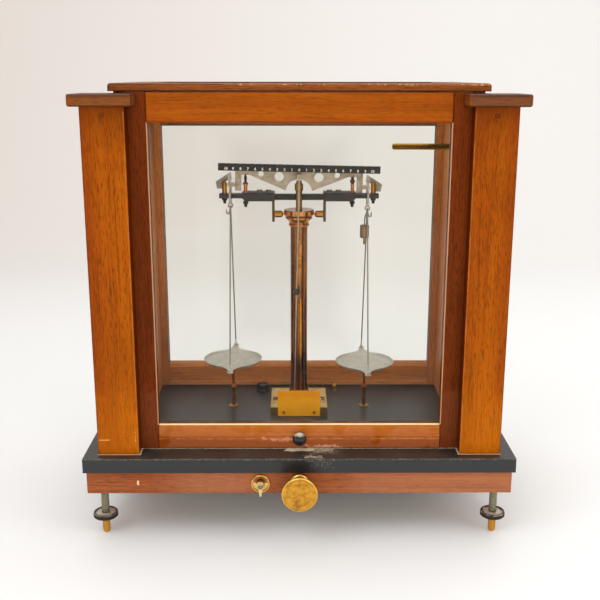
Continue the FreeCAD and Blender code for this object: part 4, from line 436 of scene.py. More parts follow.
@dataclass(frozen=True)
class Mark:
    """A place on a surface painted in another colour: a chip, a dust line, painted shade or a painted highlight.

    Args:
        x, y, z: The two ends of the box that holds it, in millimetres.
        colour: Its colour.
        share: How strongly it covers.
        soft: Width over which it fades in, in millimetres.
        ragged: How far its border wanders, in millimetres.
        scale: Scale of the wandering.
        both: Whether it shows on both sides of the middle.
    """

    x: Span
    y: Span
    z: Span
    colour: Colour
    share: float = 1.0
    soft: float = 0.4
    ragged: float = 0.0
    scale: float = 300.0
    both: bool = False

    def lay(self, graph: Graph, effects: Effects, at: Socket, colour: Value) -> Socket:
        """Lays the mark over a colour.

        Args:
            graph: The material's graph.
            effects: The shared node groups.
            at: Object coordinates.
            colour: Colour of the surface so far.

        Returns:
            The colour with the mark on it.
        """
        low, high = ([span[end] / PER_METRE for span in (self.x, self.y, self.z)] for end in (0, 1))
        mask = graph.use(effects["Patch"], {
            "Vector": at, "Low": low, "High": high, "Both sides": float(self.both),
            "Soft": self.soft / PER_METRE, "Ragged": self.ragged / PER_METRE, "Scale": self.scale})["Mask"]
        return graph.blend(graph.times(mask, self.share), colour, self.colour)


class Finish:
    """Base of the finishes: makes a material with one Principled shader."""

    BUMP_DEPTH = 0.00009
    EDGE_RADIUS = 0.0007
    name: str
    marks: Tuple[Mark, ...] = ()

    def marked(self, graph: Graph, effects: Effects, colour: Value) -> Value:
        """Lays the marks over a colour.

        Args:
            graph: The material's graph.
            effects: The shared node groups.
            colour: Colour of the surface so far.

        Returns:
            The colour with the marks on it.
        """
        if self.marks:
            at = graph.place()
            for mark in self.marks:
                colour = mark.lay(graph, effects, at, colour)
        return colour

    def start(self) -> Tuple[bpy.types.Material, Graph, bpy.types.Node, bpy.types.Node]:
        """A new material.

        Returns:
            The material, its graph, its shader and its output node.
        """
        material = bpy.data.materials.new(self.name)
        material.use_nodes = True
        material.node_tree.nodes.clear()
        graph = Graph(material.node_tree)
        output, shader = graph.add("OutputMaterial"), graph.add("BsdfPrincipled")
        graph.put(output.inputs["Surface"], shader.outputs[0])
        return material, graph, shader, output

    def rounded(self, graph: Graph, shader: bpy.types.Node, height: Value) -> None:
        """Puts a bump on top of softly rounded edges.

        Args:
            graph: The material's graph.
            shader: The shader that takes the normal.
            height: Height of the bump.
        """
        bevel = graph.add("Bevel", {"samples": EDGE_SAMPLES}, {"Radius": self.EDGE_RADIUS}).outputs[0]
        bump = graph.add("Bump", {}, {"Strength": 1.0, "Distance": self.BUMP_DEPTH, "Height": height,
                                      "Normal": bevel})
        graph.put(shader.inputs["Normal"], bump.outputs[0])

    def build(self, effects: Effects) -> bpy.types.Material:
        """Makes the material.

        Args:
            effects: The shared node groups.

        Returns:
            The material.
        """
        raise NotImplementedError


@dataclass(frozen=True)
class Wood(Finish):
    """Waxed, open-pored wood with worn edges.

    Args:
        name: Material name.
        pale, mid, deep: Colours from the lightest to the darkest part of the grain.
        grain: Direction of the grain.
        inner: Box (with X taken either side) where the boards run another way, and that way.
        shift: Offset that gives each board its own figure.
        pores, figure: Strength of the pores and of the broad figure.
        gloss: Roughness of the wax.
        sheen: Strength of the wax's reflection.
        wear: How much bare wood shows along the edges.
        dust: Dust on faces turned upward.
        marks: Marks, painted shade and painted highlights.
    """

    WAX_TINT = (1.0, 0.72, 0.42)
    SHADE_SHARE, JOINT_SHARE, PORE_ROUGH, DUST_ROUGH = 0.35, 0.8, 0.25, 0.5
    DUST_COLOUR = "baaa96"
    name: str
    pale: Colour = "a45402"
    mid: Colour = "863a01"
    deep: Colour = "4e1a01"
    grain: Axis = Axis.Z
    inner: Optional[Tuple[Box, Axis]] = None
    shift: float = 0.0
    pores: float = 0.5
    figure: float = 0.8
    gloss: float = 0.36
    sheen: float = 0.14
    wear: float = 0.35
    dust: float = 0.12
    marks: Tuple[Mark, ...] = ()

    def build(self, effects: Effects) -> bpy.types.Material:
        """Makes the material.

        Args:
            effects: The shared node groups.

        Returns:
            The material.
        """
        material, graph, shader, _ = self.start()
        box, inner_axis = self.inner or ((NOWHERE, NOWHERE), self.grain)
        lay = graph.use(effects["Board lay"], {"Low": box[0], "High": box[1], "Main axis": float(self.grain.value),
                                               "Inner axis": float(inner_axis.value), "Shift": self.shift})
        grain = graph.use(effects["Wood grain"], {"Vector": lay["Vector"], "Pale": self.pale, "Mid": self.mid,
                                                  "Deep": self.deep, "Pores": self.pores, "Figure": self.figure})
        wear = graph.use(effects["Edge wear"], {"Width": 0.0011, "Break": 0.52, "Scale": 160.0})
        dust = graph.use(effects["Dust"], {"Amount": self.dust, "Scale": 70.0})["Mask"]
        # The first layer is painted shade along rounded edges and in creases.
        layers = ((graph.times(wear["Soft"], self.SHADE_SHARE), paler(self.deep, 0.5)),
                  (graph.times(wear["Mask"], self.wear), paler(self.pale, 1.6, 0.05)),
                  (graph.times(lay["Joint"], self.JOINT_SHARE if self.inner else 0.0), paler(self.deep, 0.3)),
                  (dust, self.DUST_COLOUR))
        colour = grain["Color"]
        for share, layer in layers:
            colour = graph.blend(share, colour, layer)
        rough = graph.plus(self.gloss, graph.times(grain["Pores"], self.PORE_ROUGH))
        graph.fill(shader, {"Base Color": self.marked(graph, effects, colour),
                            "Roughness": graph.plus(rough, graph.times(dust, self.DUST_ROUGH)),
                            "Specular IOR Level": self.sheen, "Specular Tint": self.WAX_TINT})
        self.rounded(graph, shader, grain["Height"])
        return material


@dataclass(frozen=True)
class Metal(Finish):
    """Metal with tarnish, and turning rings, brushing or a thread.

    Args:
        name: Material name.
        bright, dull: Clean and tarnished colours.
        rough: Roughness where the metal is clean.
        tarnish, scale: Share of tarnish, and the scale of its patches.
        centre, across: Point on the turning axis, and 1 for each axis across it.
        brush: Stretch of the brush marks, or nothing.
        thread: Centre of a threaded stem, or nothing.
        rim: Distance from the turning axis beyond which the edge gets a painted highlight, or nothing.
        streaks, streak: Axis point of a tube on which reflections are painted as uneven bands, and the colour of
            those painted reflections.
        metallic: Metallic value.
        sheen: Strength of the reflection where the surface isn't metal.
        edge: Brightness of worn edges.
        dust, grime: Dust on faces turned upward, and its colour.
        marks: Marks, parts of another colour, painted shade and painted highlights.
    """

    BUMP_DEPTH = 0.00006
    EDGE_RADIUS = 0.0003
    RIM_FADE, RIM_SHARE, FINE_SHARE = 0.0004, 0.8, 0.75
    TARNISH_RELIEF, RING_RELIEF, BRUSH_RELIEF, THREAD_RELIEF = 0.12, 0.5, 0.6, 8.0
    name: str
    bright: Colour
    dull: Colour
    rough: float = 0.28
    tarnish: float = 0.5
    scale: float = 120.0
    centre: Optional[Triple] = None
    across: Triple = (1.0, 0.0, 1.0)
    brush: Optional[Triple] = None
    thread: Optional[Triple] = None
    rim: Optional[float] = None
    streaks: Optional[Triple] = None
    streak: Colour = "3c1c0a"
    metallic: float = 1.0
    sheen: float = 0.5
    edge: float = 0.4
    dust: float = 0.1
    grime: Colour = "b0a694"
    marks: Tuple[Mark, ...] = ()

    def build(self, effects: Effects) -> bpy.types.Material:
        """Makes the material.

        Args:
            effects: The shared node groups.

        Returns:
            The material.
        """
        material, graph, shader, _ = self.start()
        at = graph.place()
        tarnish = graph.use(effects["Tarnish"], {"Vector": at, "Bright": self.bright, "Dull": self.dull,
                                                 "Amount": self.tarnish, "Scale": self.scale})
        height: Value = graph.times(tarnish["Height"], self.TARNISH_RELIEF)
        colour: Value = tarnish["Color"]
        # Painted reflections: uneven bands round the tube.
        if self.streaks is not None:
            bands = graph.use(effects["Streaks"], {"Vector": at, "Centre": self.streaks})
            fine = graph.times(graph.remap(bands["Fine"], 0.46, 0.60), self.FINE_SHARE)
            share = graph.calc("MAXIMUM", graph.remap(bands["Broad"], 0.40, 0.58), fine)
            colour = graph.blend(share, colour, self.streak)
        wear = graph.use(effects["Edge wear"], {"Width": 0.0005, "Break": 0.42, "Scale": 320.0})
        dust = graph.use(effects["Dust"], {"Amount": self.dust, "Scale": 180.0})["Mask"]
        colour = graph.blend(graph.times(wear["Mask"], self.edge), colour, paler(self.bright, 1.5, 0.03))
        colour = graph.blend(dust, colour, self.grime)
        if self.centre is not None:
            turning = graph.use(effects["Turning"], {"Vector": at, "Centre": self.centre, "Across": self.across})
            height = graph.plus(height, graph.times(turning["Height"], self.RING_RELIEF))
            # Painted highlight: the rim beyond the given radius is painted brighter.
            if self.rim is not None:
                edge_highlight = graph.remap(turning["Radius"], self.rim, self.rim + self.RIM_FADE)
                colour = graph.blend(graph.times(edge_highlight, self.RIM_SHARE), colour, paler(self.bright, 1.7, 0.06))
        for effect, key, value, gain in (("Brushing", "Squeeze", self.brush, self.BRUSH_RELIEF),
                                         ("Thread", "Centre", self.thread, self.THREAD_RELIEF)):
            if value is not None:
                relief = graph.use(effects[effect], {"Vector": at, key: value})["Height"]
                height = graph.plus(height, graph.times(relief, gain))
        graph.fill(shader, {"Base Color": self.marked(graph, effects, colour), "Metallic": self.metallic,
                            "Specular IOR Level": self.sheen,
                            "Roughness": graph.plus(self.rough, tarnish["Roughness"])})
        self.rounded(graph, shader, height)
        return material


@dataclass(frozen=True)
class Glazing(Finish):
    """Old sheet glass with a faint bloom of dust.

    Args:
        name: Material name.
        tint: Colour of the glass.
        bloom: Amount of dust on it.
        marks: Places where the glass is dimmed.
    """

    BEND = 1.18
    SHADOW = (0.97, 0.98, 0.975)
    name: str
    tint: Colour = (0.925, 0.925, 0.90)
    bloom: float = 0.03
    marks: Tuple[Mark, ...] = ()

    def build(self, effects: Effects) -> bpy.types.Material:
        """Makes the material.

        Args:
            effects: The shared node groups.

        Returns:
            The material.
        """
        material, graph, shader, output = self.start()
        at = graph.place()
        haze, ripple = graph.noise(at, 14.0, 6.0, 0.7), graph.noise(at, 9.0, 2.0)
        bump = graph.add("Bump", {}, {"Strength": 0.25, "Distance": 0.0004, "Height": ripple})
        graph.fill(shader, {"Base Color": self.marked(graph, effects, self.tint), "Metallic": 0.0,
                            "Transmission Weight": 1.0, "IOR": self.BEND, "Normal": bump.outputs[0],
                            "Roughness": graph.remap(haze, 0.4, 0.9, 0.0, self.bloom)})
        clear = graph.add("BsdfTransparent", {}, {"Color": self.SHADOW}).outputs[0]
        shadow = graph.add("LightPath").outputs["Is Shadow Ray"]
        mixed = graph.add("MixShader", {}, {0: shadow, 1: shader.outputs[0], 2: clear})
        graph.put(output.inputs["Surface"], mixed.outputs[0])
        return material


@dataclass(frozen=True)
class Dark(Finish):
    """Black polished or painted surface with wear, scuffs and dust.

    Args:
        name: Material name.
        base, worn: Colour of the surface and of its scuffs.
        rough: Roughness where it is clean.
        scuffs: Share of scuffs.
        dust: Dust on faces turned upward.
        speckle: Strength of fine pale grain, as in stone or cast material.
        edge: Strength of the wear along the edges.
        marks: Marks, dust lines, painted shade and painted highlights.
    """

    BUMP_DEPTH = 0.00004
    DUST_COLOUR = "968e82"
    SCUFF_SHARE, CLOUD_ROUGH, DULLING = 0.6, 0.4, 0.4
    name: str
    base: Colour = "2e2d2c"
    worn: Colour = "70685e"
    rough: float = 0.22
    scuffs: float = 0.35
    dust: float = 0.25
    speckle: float = 0.15
    edge: float = 0.5
    marks: Tuple[Mark, ...] = ()

    def build(self, effects: Effects) -> bpy.types.Material:
        """Makes the material.

        Args:
            effects: The shared node groups.

        Returns:
            The material.
        """
        material, graph, shader, _ = self.start()
        at = graph.place()
        cloud, speck = graph.noise(at, 22.0, 6.0, 0.7), graph.noise(at, 900.0, 3.0, 0.6)
        scrape = graph.noise(graph.stretch(at, 40.0, 260.0, 260.0), 1.0, 4.0)
        wear = graph.use(effects["Edge wear"], {"Width": 0.0012, "Break": 0.50, "Scale": 120.0})
        dust = graph.use(effects["Dust"], {"Amount": self.dust, "Scale": 45.0})["Mask"]
        colour: Value = self.base
        for share in (graph.times(graph.remap(cloud, 0.45, 0.75), self.scuffs * self.SCUFF_SHARE),
                      graph.times(graph.remap(speck, 0.55, 0.75), self.speckle),
                      graph.times(graph.remap(scrape, 0.62, 0.72), self.scuffs * self.SCUFF_SHARE),
                      graph.times(wear["Mask"], self.edge)):
            colour = graph.blend(share, colour, self.worn)
        colour = graph.blend(dust, colour, self.DUST_COLOUR)
        dulled = graph.times(graph.plus(dust, graph.times(cloud, self.CLOUD_ROUGH)), self.DULLING)
        graph.fill(shader, {"Base Color": self.marked(graph, effects, colour),
                            "Roughness": graph.plus(self.rough, dulled)})
        self.rounded(graph, shader, speck)
        return material


BRASS, BRASS_DULL = "d6a846", "784e1a"
STEEL, STEEL_DULL = "bab2a2", "60564a"


# ------------------------------------------------------------------ assemblies
def make(name: str, mesh: bmesh.types.BMesh, material: bpy.types.Material) -> bpy.types.Object:
    """Turns a mesh into an object of the scene.

    Args:
        name: The object's name.
        mesh: Its mesh, in the row frame.
        material: Its material.

    Returns:
        The object.
    """
    data = bpy.data.meshes.new(name)
    mesh.to_mesh(data)
    mesh.free()
    data.materials.append(material)
    obj = bpy.data.objects.new(name, data)
    bpy.context.scene.collection.objects.link(obj)
    LOG.info("made %s", name)
    return obj


def cross_rails(low: Vector, high: Vector, front: float, back: float) -> Tuple[Box, Axis]:
    """Part of a frame whose boards run from front to back.

    Args:
        low, high: Corners of the whole frame.
        front, back: Depths of its front and back members.

    Returns:
        The box between those members, at every height and on both sides, and the boards' direction.
    """
    return ((0.0, low.y + front, low.z - BEYOND), (BEYOND, high.y - back, high.z + BEYOND)), Axis.Y


def upright_axis(low: Vector, high: Vector) -> Triple:
    """Foot of the upright line through the middle of a box."""
    return (low.x + high.x) / 2.0, (low.y + high.y) / 2.0, 0.0


@dataclass
class Assembly:
    """A sub-assembly of the balance: gives its CAD nodes their finishes and adds its own pieces.

    Args:
        effects: The shared node groups.
    """

    frame: Dict[str, object]
    effects: Effects

    def dress(self) -> None:
        """Finishes the sub-assembly."""
        raise NotImplementedError

    def give(self, finish: Finish, *nodes: str) -> bpy.types.Material:
        """Builds a finish and puts it on CAD nodes.

        Args:
            finish: The finish.
            nodes: Names of CAD nodes.

        Returns:
            The material.
        """
        material = finish.build(self.effects)
        for name in nodes:
            materials = self.frame["nodes"][name].data.materials
            materials.clear()
            materials.append(material)
            LOG.info("dressed %s as %s", name, finish.name)
        return material


@dataclass
class Base(Assembly):
    """Slab, apron and the fixed back foot.

    Args:
        rail: Thickness of the apron's front and back rails.
    """

    rail: float = 0.015

    def dress(self) -> None:
        """Finishes the slab, the apron and the back foot."""
        # Pale colour of the dust lines and chips on the slab.
        pale_dust_and_highlight = "ded4b8"
        self.give(Dark("Slab", base="282625", worn="5a5550", rough=0.28, scuffs=0.22, dust=0.16,
                       speckle=0.32, marks=(
            Mark((-221, 221), (-121, -118.9), (70, 91.4), "141a1d", 0.8, 0.3),
            # Painted shade along the bottom of the slab's front face.
            Mark(ALL, (-900, -118.9), (-70, 76.5), "0e1011", 0.7, 2.0),
            Mark(ALL, (-119.6, -84), (91.8, 900), "262521", 0.5, 0.2),
            # Painted shade and painted reflection over the back of the case floor.
            Mark(ALL, (78, 900), ALL, "0a0a0c", 0.8, 22.0),
            Mark((-221, 221), (-121, -117.6), (91.0, 93), "7a7464", 0.35, 0.4, 2.4, 420.0),
            Mark((163.2, 206.5), (-108.6, -106.5), (90, 94), pale_dust_and_highlight, 0.85, 0.3, 0.25, 500.0, True),
            Mark((162.2, 164.4), (-108.4, -91.0), (90, 94), pale_dust_and_highlight, 0.8, 0.3, 0.3, 500.0, True),
            Mark((0.0, 164.0), (-93.3, -91.2), (90, 94), pale_dust_and_highlight, 0.6, 0.4, 0.5, 300.0, True),
            Mark((-15, 16), (-100.5, -90.0), (88, 96), pale_dust_and_highlight, 0.8, 0.8, 3.0, 210.0),
            Mark((14, 36), (-104.0, -88.0), (80, 106), pale_dust_and_highlight, 0.5, 0.8, 12.0, 700.0),
            Mark((4, 24), (-117.4, -111.0), (80, 106), pale_dust_and_highlight, 0.45, 0.8, 5.0, 300.0),
            Mark((8, 34), (-127.0, -117.4), (84, 94), pale_dust_and_highlight, 0.07, 0.8, 9.0, 420.0),
            # Painted shadow and reflection of the knob on the slab's front.
            Mark((-20, 20), (-900, -118.0), (73, 90), "080707", 0.97, 3.0, 0.8, 90.0))), "base_slab")
        inner = cross_rails(*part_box("apron_rails"), self.rail, self.rail)
        self.give(Wood("Apron", pale="985632", mid="814325", deep="5c2d1a",
                       grain=Axis.X, inner=inner, shift=0.2, pores=0.4, gloss=0.42, marks=(
            Mark((-166.2, -163.6), (-118, -115), (61.8, 67.8), "ecc896", 0.95, 0.4, 0.5, 500.0),
            Mark((-160, -10), ALL, ALL, "c48e70", 0.2, 60.0, 6.0, 40.0),
            Mark((20, 300), ALL, ALL, "c89070", 0.2, 60.0, 6.0, 40.0),
            Mark(ALL, ALL, (75.4, 90), "50281a", 0.6, 0.8))), "apron_rails")
        self.give(Metal("Back foot", BRASS, BRASS_DULL, 0.35, 0.7), "rear_foot")


@dataclass
class Columns(Assembly):
    """Hollow front columns and their caps.

    Args:
        face: Depth range that holds the columns' front face, in millimetres.
    """

    face: Span = (-108.0, -106.0)

    def dress(self) -> None:
        """Finishes the columns and the caps."""
        shade, scratch = "4a1604", "e2b678"
        self.give(Wood("Columns", shift=0.05, marks=(
            # Painted shade under the caps: the columns darken towards the top.
            Mark(ALL, ALL, (385, 900), "5c2402", 0.6, 60.0, 3.0, 30.0),
            # Painted light: the columns lighten towards the bottom.
            Mark(ALL, ALL, (-200, 210), "c47008", 0.32, 140.0, 4.0, 20.0),
            Mark((189, 900), ALL, (150, 460), "762c04", 0.38, 11.0, 2.0, 26.0, True),
            # Painted shade on the columns' inner side faces.
            Mark((160, 164.6), (-106.2, -55), (80, 445), shade, 0.9, 0.3, both=True),
            # Painted shade along the outer edge of the front face.
            Mark((204.2, 207), self.face, (80, 445), "602208", 0.6, 1.2, 0.6, 60.0, True),
            Mark((181.0, 189.0), (-106.9, -103.5), (428, 437), "542204", 0.55, 0.1, both=True),
            Mark((-204.6, -193.6), self.face, (106.8, 108.8), scratch, 0.7, 0.9, 0.3, 420.0),
            Mark((-168.5, -166.4), self.face, (106, 117), scratch, 0.45, 0.8, 0.6, 200.0),
            # Painted highlight along the inner edge of the front face.
            Mark((164, 165.6), self.face, (90, 436), "bc7430", 0.5, 0.8, 0.4, 60.0, True),
            Mark((160, 207), ALL, (-90, 95), "70360e", 0.5, 3.0, 0.6, 200.0, True))), "column_boards")
        self.give(Wood("Caps", pale="884b0f", mid="673409", deep="321508",
                       grain=Axis.X, shift=0.7, wear=0.25, dust=0.3, marks=(
            # Painted sheen: a greyish cast over each cap.
            Mark((150, 222), ALL, ALL, "543832", 0.5, 2.0, 14.0, 40.0),
            Mark((-222, -150), ALL, ALL, "5c3e32", 0.35, 2.0, 14.0, 36.0),
            Mark(ALL, ALL, (449.9, 900), "422824", 0.6, 0.5, 0.6, 200.0, True),
            Mark(ALL, ALL, (-900, 442.2), "32160a", 0.7, 0.6),
            Mark((214.6, 900), ALL, ALL, "361a10", 0.7, 0.8, both=True),
            Mark(ALL, (-900, -116.6), (449.2, 900), "3c2420", 0.6, 0.5))),
                  "column_caps")


@dataclass
class Carcass(Assembly):
    """Side and rear frames, lid, panes and the rider rod's boss.

    Args:
        front_stile, back_stile: Depths of a side frame's stiles.
        rear_stile: Part of a rear stile that the side frame leaves free.
        lid_rail: Depth of the lid's front and back rails.
        bay: Width range between the rear stiles, in millimetres.
        back_face: Depth range that holds the rear frame's front face, in millimetres.
    """

    front_stile: float = 0.0275
    back_stile: float = 0.057
    rear_stile: float = 0.0085
    lid_rail: float = 0.034
    bay: Span = (-162.0, 162.0)
    back_face: Span = (103.0, 105.0)

    def dress(self) -> None:
        """Finishes the frames, the lid, the boss and the panes."""
        inner = cross_rails(*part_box("side_frames"), self.front_stile, self.back_stile)
        self.give(Wood("Side frames", pale="dc8a44", mid="be6e2c", deep="703812", inner=inner, shift=0.4, marks=(
            Mark((-900, 0), ALL, (300, 900), "684c38", 0.55, 120.0, 3.0, 30.0),)), "side_frames")
        low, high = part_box("rear_frame")
        inner = (((0.0, low.y - BEYOND, low.z - BEYOND),
                  (high.x - self.rear_stile, high.y + BEYOND, high.z + BEYOND)), Axis.X)
        self.give(Wood("Rear frame", pale="ce8244", mid="ae642c", deep="683616", inner=inner, shift=0.9, marks=(
            Mark((-161.5, 161.5), ALL, (400, 900), "5c4c40", 0.75, 1.0),
            Mark(self.bay, self.back_face, (91, 94.8), "de9e70", 0.8, 0.4, 0.1),
            Mark(self.bay, self.back_face, (104.5, 106.2), "d69668", 0.45, 0.5, 0.2))), "rear_frame")
        inner = cross_rails(*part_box("lid_rails"), self.lid_rail, self.lid_rail)
        chip = "d8b284"
        self.give(Wood("Lid", pale="9e5c2e", mid="804620", deep="46200f",
                       grain=Axis.X, inner=inner, shift=0.3, wear=0.2, dust=0.2, marks=(
            Mark((-76, 182), (-82, -77.9), (459.9, 464), chip, 0.65, 0.6, 1.2, 260.0),
            # Painted shadow along the lid's lower edge.
            Mark((-185, 185), (-80, -77), (453, 455.4), "2c140c", 0.7, 0.7),
            Mark((-185, -181), (-80, 122), (453, 462), "3c2c2c", 0.6, 1.0, 0.8),
            Mark((-185, -72), (-80, -77.4), (459.4, 462.2), "3e2420", 0.7, 0.6, 0.2))), "lid_rails")
        self.give(Wood("Rod boss", grain=Axis.Y, shift=0.6), "carrier_plate")
        self.give(Glazing("Pane glass", marks=(
            # Dims the panes over the middle.
            Mark((-110, 80), ALL, (120, 420), (0.80, 0.79, 0.765), 0.8, 50.0, 8.0, 9.0),)), "carcass_panes")


@dataclass
class Sash(Assembly):
    """Rising front sash.

    Args:
        face: Depth range that holds the sash's front face, in millimetres.
    """

    face: Span = (-95.0, -86.0)

    def dress(self) -> None:
        """Finishes the stiles, the rails, the glass, the knob and the lugs."""
        # Colours of the painted highlights along the rail and stile edges.
        pale_dust_and_highlight, edge_highlight = "f6deb0", "d8a27a"
        self.give(Wood("Sash stiles", pale="6a2b06", mid="501c02", deep="320e02", shift=0.15, marks=(
            # Painted highlight along the stiles' inner edges.
            Mark((144.0, 146.9), (-92.5, -89.0), (117.5, 425.5), edge_highlight, 0.7, 0.6, 0.1, 60.0, True),
            # Painted shade on the stiles beside the columns.
            Mark((163, 900), ALL, ALL, "421606", 0.6, 1.6, 0.6, 60.0, True),
            Mark((100, 240), ALL, (-60, 170), "8c5236", 0.16, 14.0, 14.0, 50.0, True))),
                  "sash_stiles")
        self.give(Wood("Sash rails", pale="a0500a", mid="863c05", deep="501d04",
                       grain=Axis.X, shift=0.55, pores=0.32, dust=0.05, marks=(
            # Painted shade on the lower part and a painted highlight on the upper part of the bottom rail.
            Mark(ALL, ALL, (-92, 102), "76340c", 0.5, 1.5, 0.3, 60.0),
            Mark(ALL, ALL, (103, 300), "d4863e", 0.2, 4.0),
            Mark(ALL, (-84.6, 900), (100, 125), "36261e", 0.85, 0.4),
            # Painted highlight along the top edge of the bottom rail.
            Mark((-146, 146), (-92.5, -87.4), (116.4, 119), pale_dust_and_highlight, 0.95, 0.5, 0.1, 300.0),
            # Painted highlight along the rail's moulding.
            Mark((-150, 150), self.face, (101.6, 103.6), "ce946e", 0.4, 1.0, 0.8, 120.0),
            # Painted highlights on the rail face either side of the knob.
            Mark((-40, -4), self.face, (98.6, 105), "e4ac8c", 0.45, 2.6, 3.0, 160.0),
            Mark((6, 46), self.face, (89, 97), "e2b89c", 0.45, 2.2, 3.0, 200.0),
            Mark((-146, 146), (-92.5, -90.4), (91, 93.6), "54220e", 0.6, 0.8, 0.6, 200.0),
            Mark((-146, 146), (-92.5, -79), (424, 426.3), "8c2806", 0.7, 0.5),
            Mark(ALL, ALL, (426.3, 900), "703402", 0.22, 1.0),
            Mark((-160, 180), ALL, (60, 130), "c88c68", 0.14, 12.0, 22.0, 34.0))), "sash_rails")
        self.give(Glazing("Sash glass", bloom=0.02), "sash_pane")
        self.give(Dark("Ebonite", base="1a1818", worn="463e38", rough=0.2, scuffs=0.2, dust=0.0,
                       speckle=0.05, marks=(
            # Pale top of the knob: dust and a painted highlight.
            Mark(ALL, ALL, (108.4, 300), "cec0b0", 0.8, 3.2, 0.8, 260.0),
            Mark(ALL, ALL, (-95, 99.4), "0a0808", 0.9, 1.5))), "sash_knob")
        self.give(Metal("Lugs", BRASS, BRASS_DULL), "sash_lugs")


@dataclass
class Counterpoise(Assembly):
    """Pulleys, counterweights and cords inside the columns.

    Args:
        radius: Radius of a cord.
        strands, pitch: Its number of strands, and the height in which one takes the next one's place.
        core, swell: Shares of the radius at which the surface lies and by which it swings.
        step, least: Height of a row of its mesh, and the smallest number of rows.
        around: Corners of a row.
        wide: Width beyond which a node holds a cord at either side.
    """

    radius: float = 0.0008
    strands: int = 3
    pitch: float = 0.0048
    core: float = 0.86
    swell: float = 0.13
    step: float = 0.0012
    least: int = 8
    around: int = 12
    wide: float = 0.1

    def dress(self) -> None:
        """Finishes the pulleys and weights, and makes the laid cords."""
        self.give(Metal("Pin steel", STEEL, STEEL_DULL), "pulley_pins")
        self.give(Metal("Pulley brass", BRASS, BRASS_DULL), "left_pulley", "right_pulley")
        self.give(Metal("Weight metal", "5c5c5e", "343230", 0.5, 0.6), "left_weight", "right_weight")
        cotton = self.give(Metal("Cord cotton", "b0a080", "78684e", 0.8, 0.5, metallic=0.0,
                                 brush=(2500.0, 2500.0, 900.0)), "cord_loops")
        for node, body in (("sash_cords", "sash"), ("left_weight_cord", "left_counterweight"),
                           ("right_weight_cord", "right_counterweight")):
            self.string(node, body, cotton)

    def string(self, node: str, body: str, material: bpy.types.Material) -> None:
        """Laid cord that stretches between the pulley and a moving body.

        Args:
            node: The CAD node it stands for.
            body: Not used.
            material: Its material.
        """
        low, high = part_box(node)
        sides = (-1.0, 1.0) if high.x - low.x > self.wide else (math.copysign(1.0, low.x),)
        mesh = bmesh.new()
        for side in sides:
            x = side * (max(abs(low.x), abs(high.x)) - self.radius)
            self.twist(mesh, Vector((x, (low.y + high.y) / 2.0, low.z)), high.z - low.z)
        obj = make(node + "_laid", mesh, material)
        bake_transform(obj)
        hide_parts(node)

    def twist(self, mesh: bmesh.types.BMesh, foot: Vector, length: float) -> None:
        """Adds a cord of twisted strands as one lobed tube.

        Args:
            mesh: The mesh it is added to.
            foot: Centre of its lower end.
            length: Its length.
        """
        steps = max(int(length / self.step), self.least)
        rows: List[List[bmesh.types.BMVert]] = []
        for step in range(steps + 1):
            z = length * step / steps
            row = []
            for corner in range(self.around):
                angle = 2.0 * math.pi * corner / self.around
                lobe = self.radius * (self.core + self.swell * math.cos(self.strands * angle))
                turn = angle + z / self.pitch * 2.0 * math.pi / self.strands
                row.append(mesh.verts.new((foot.x + lobe * math.cos(turn), foot.y + lobe * math.sin(turn),
                                           foot.z + z)))
            rows.append(row)
        for lower, upper in zip(rows[:-1], rows[1:]):
            for corner in range(self.around):
                after = (corner + 1) % self.around
                mesh.faces.new((lower[corner], lower[after], upper[after], upper[corner]))


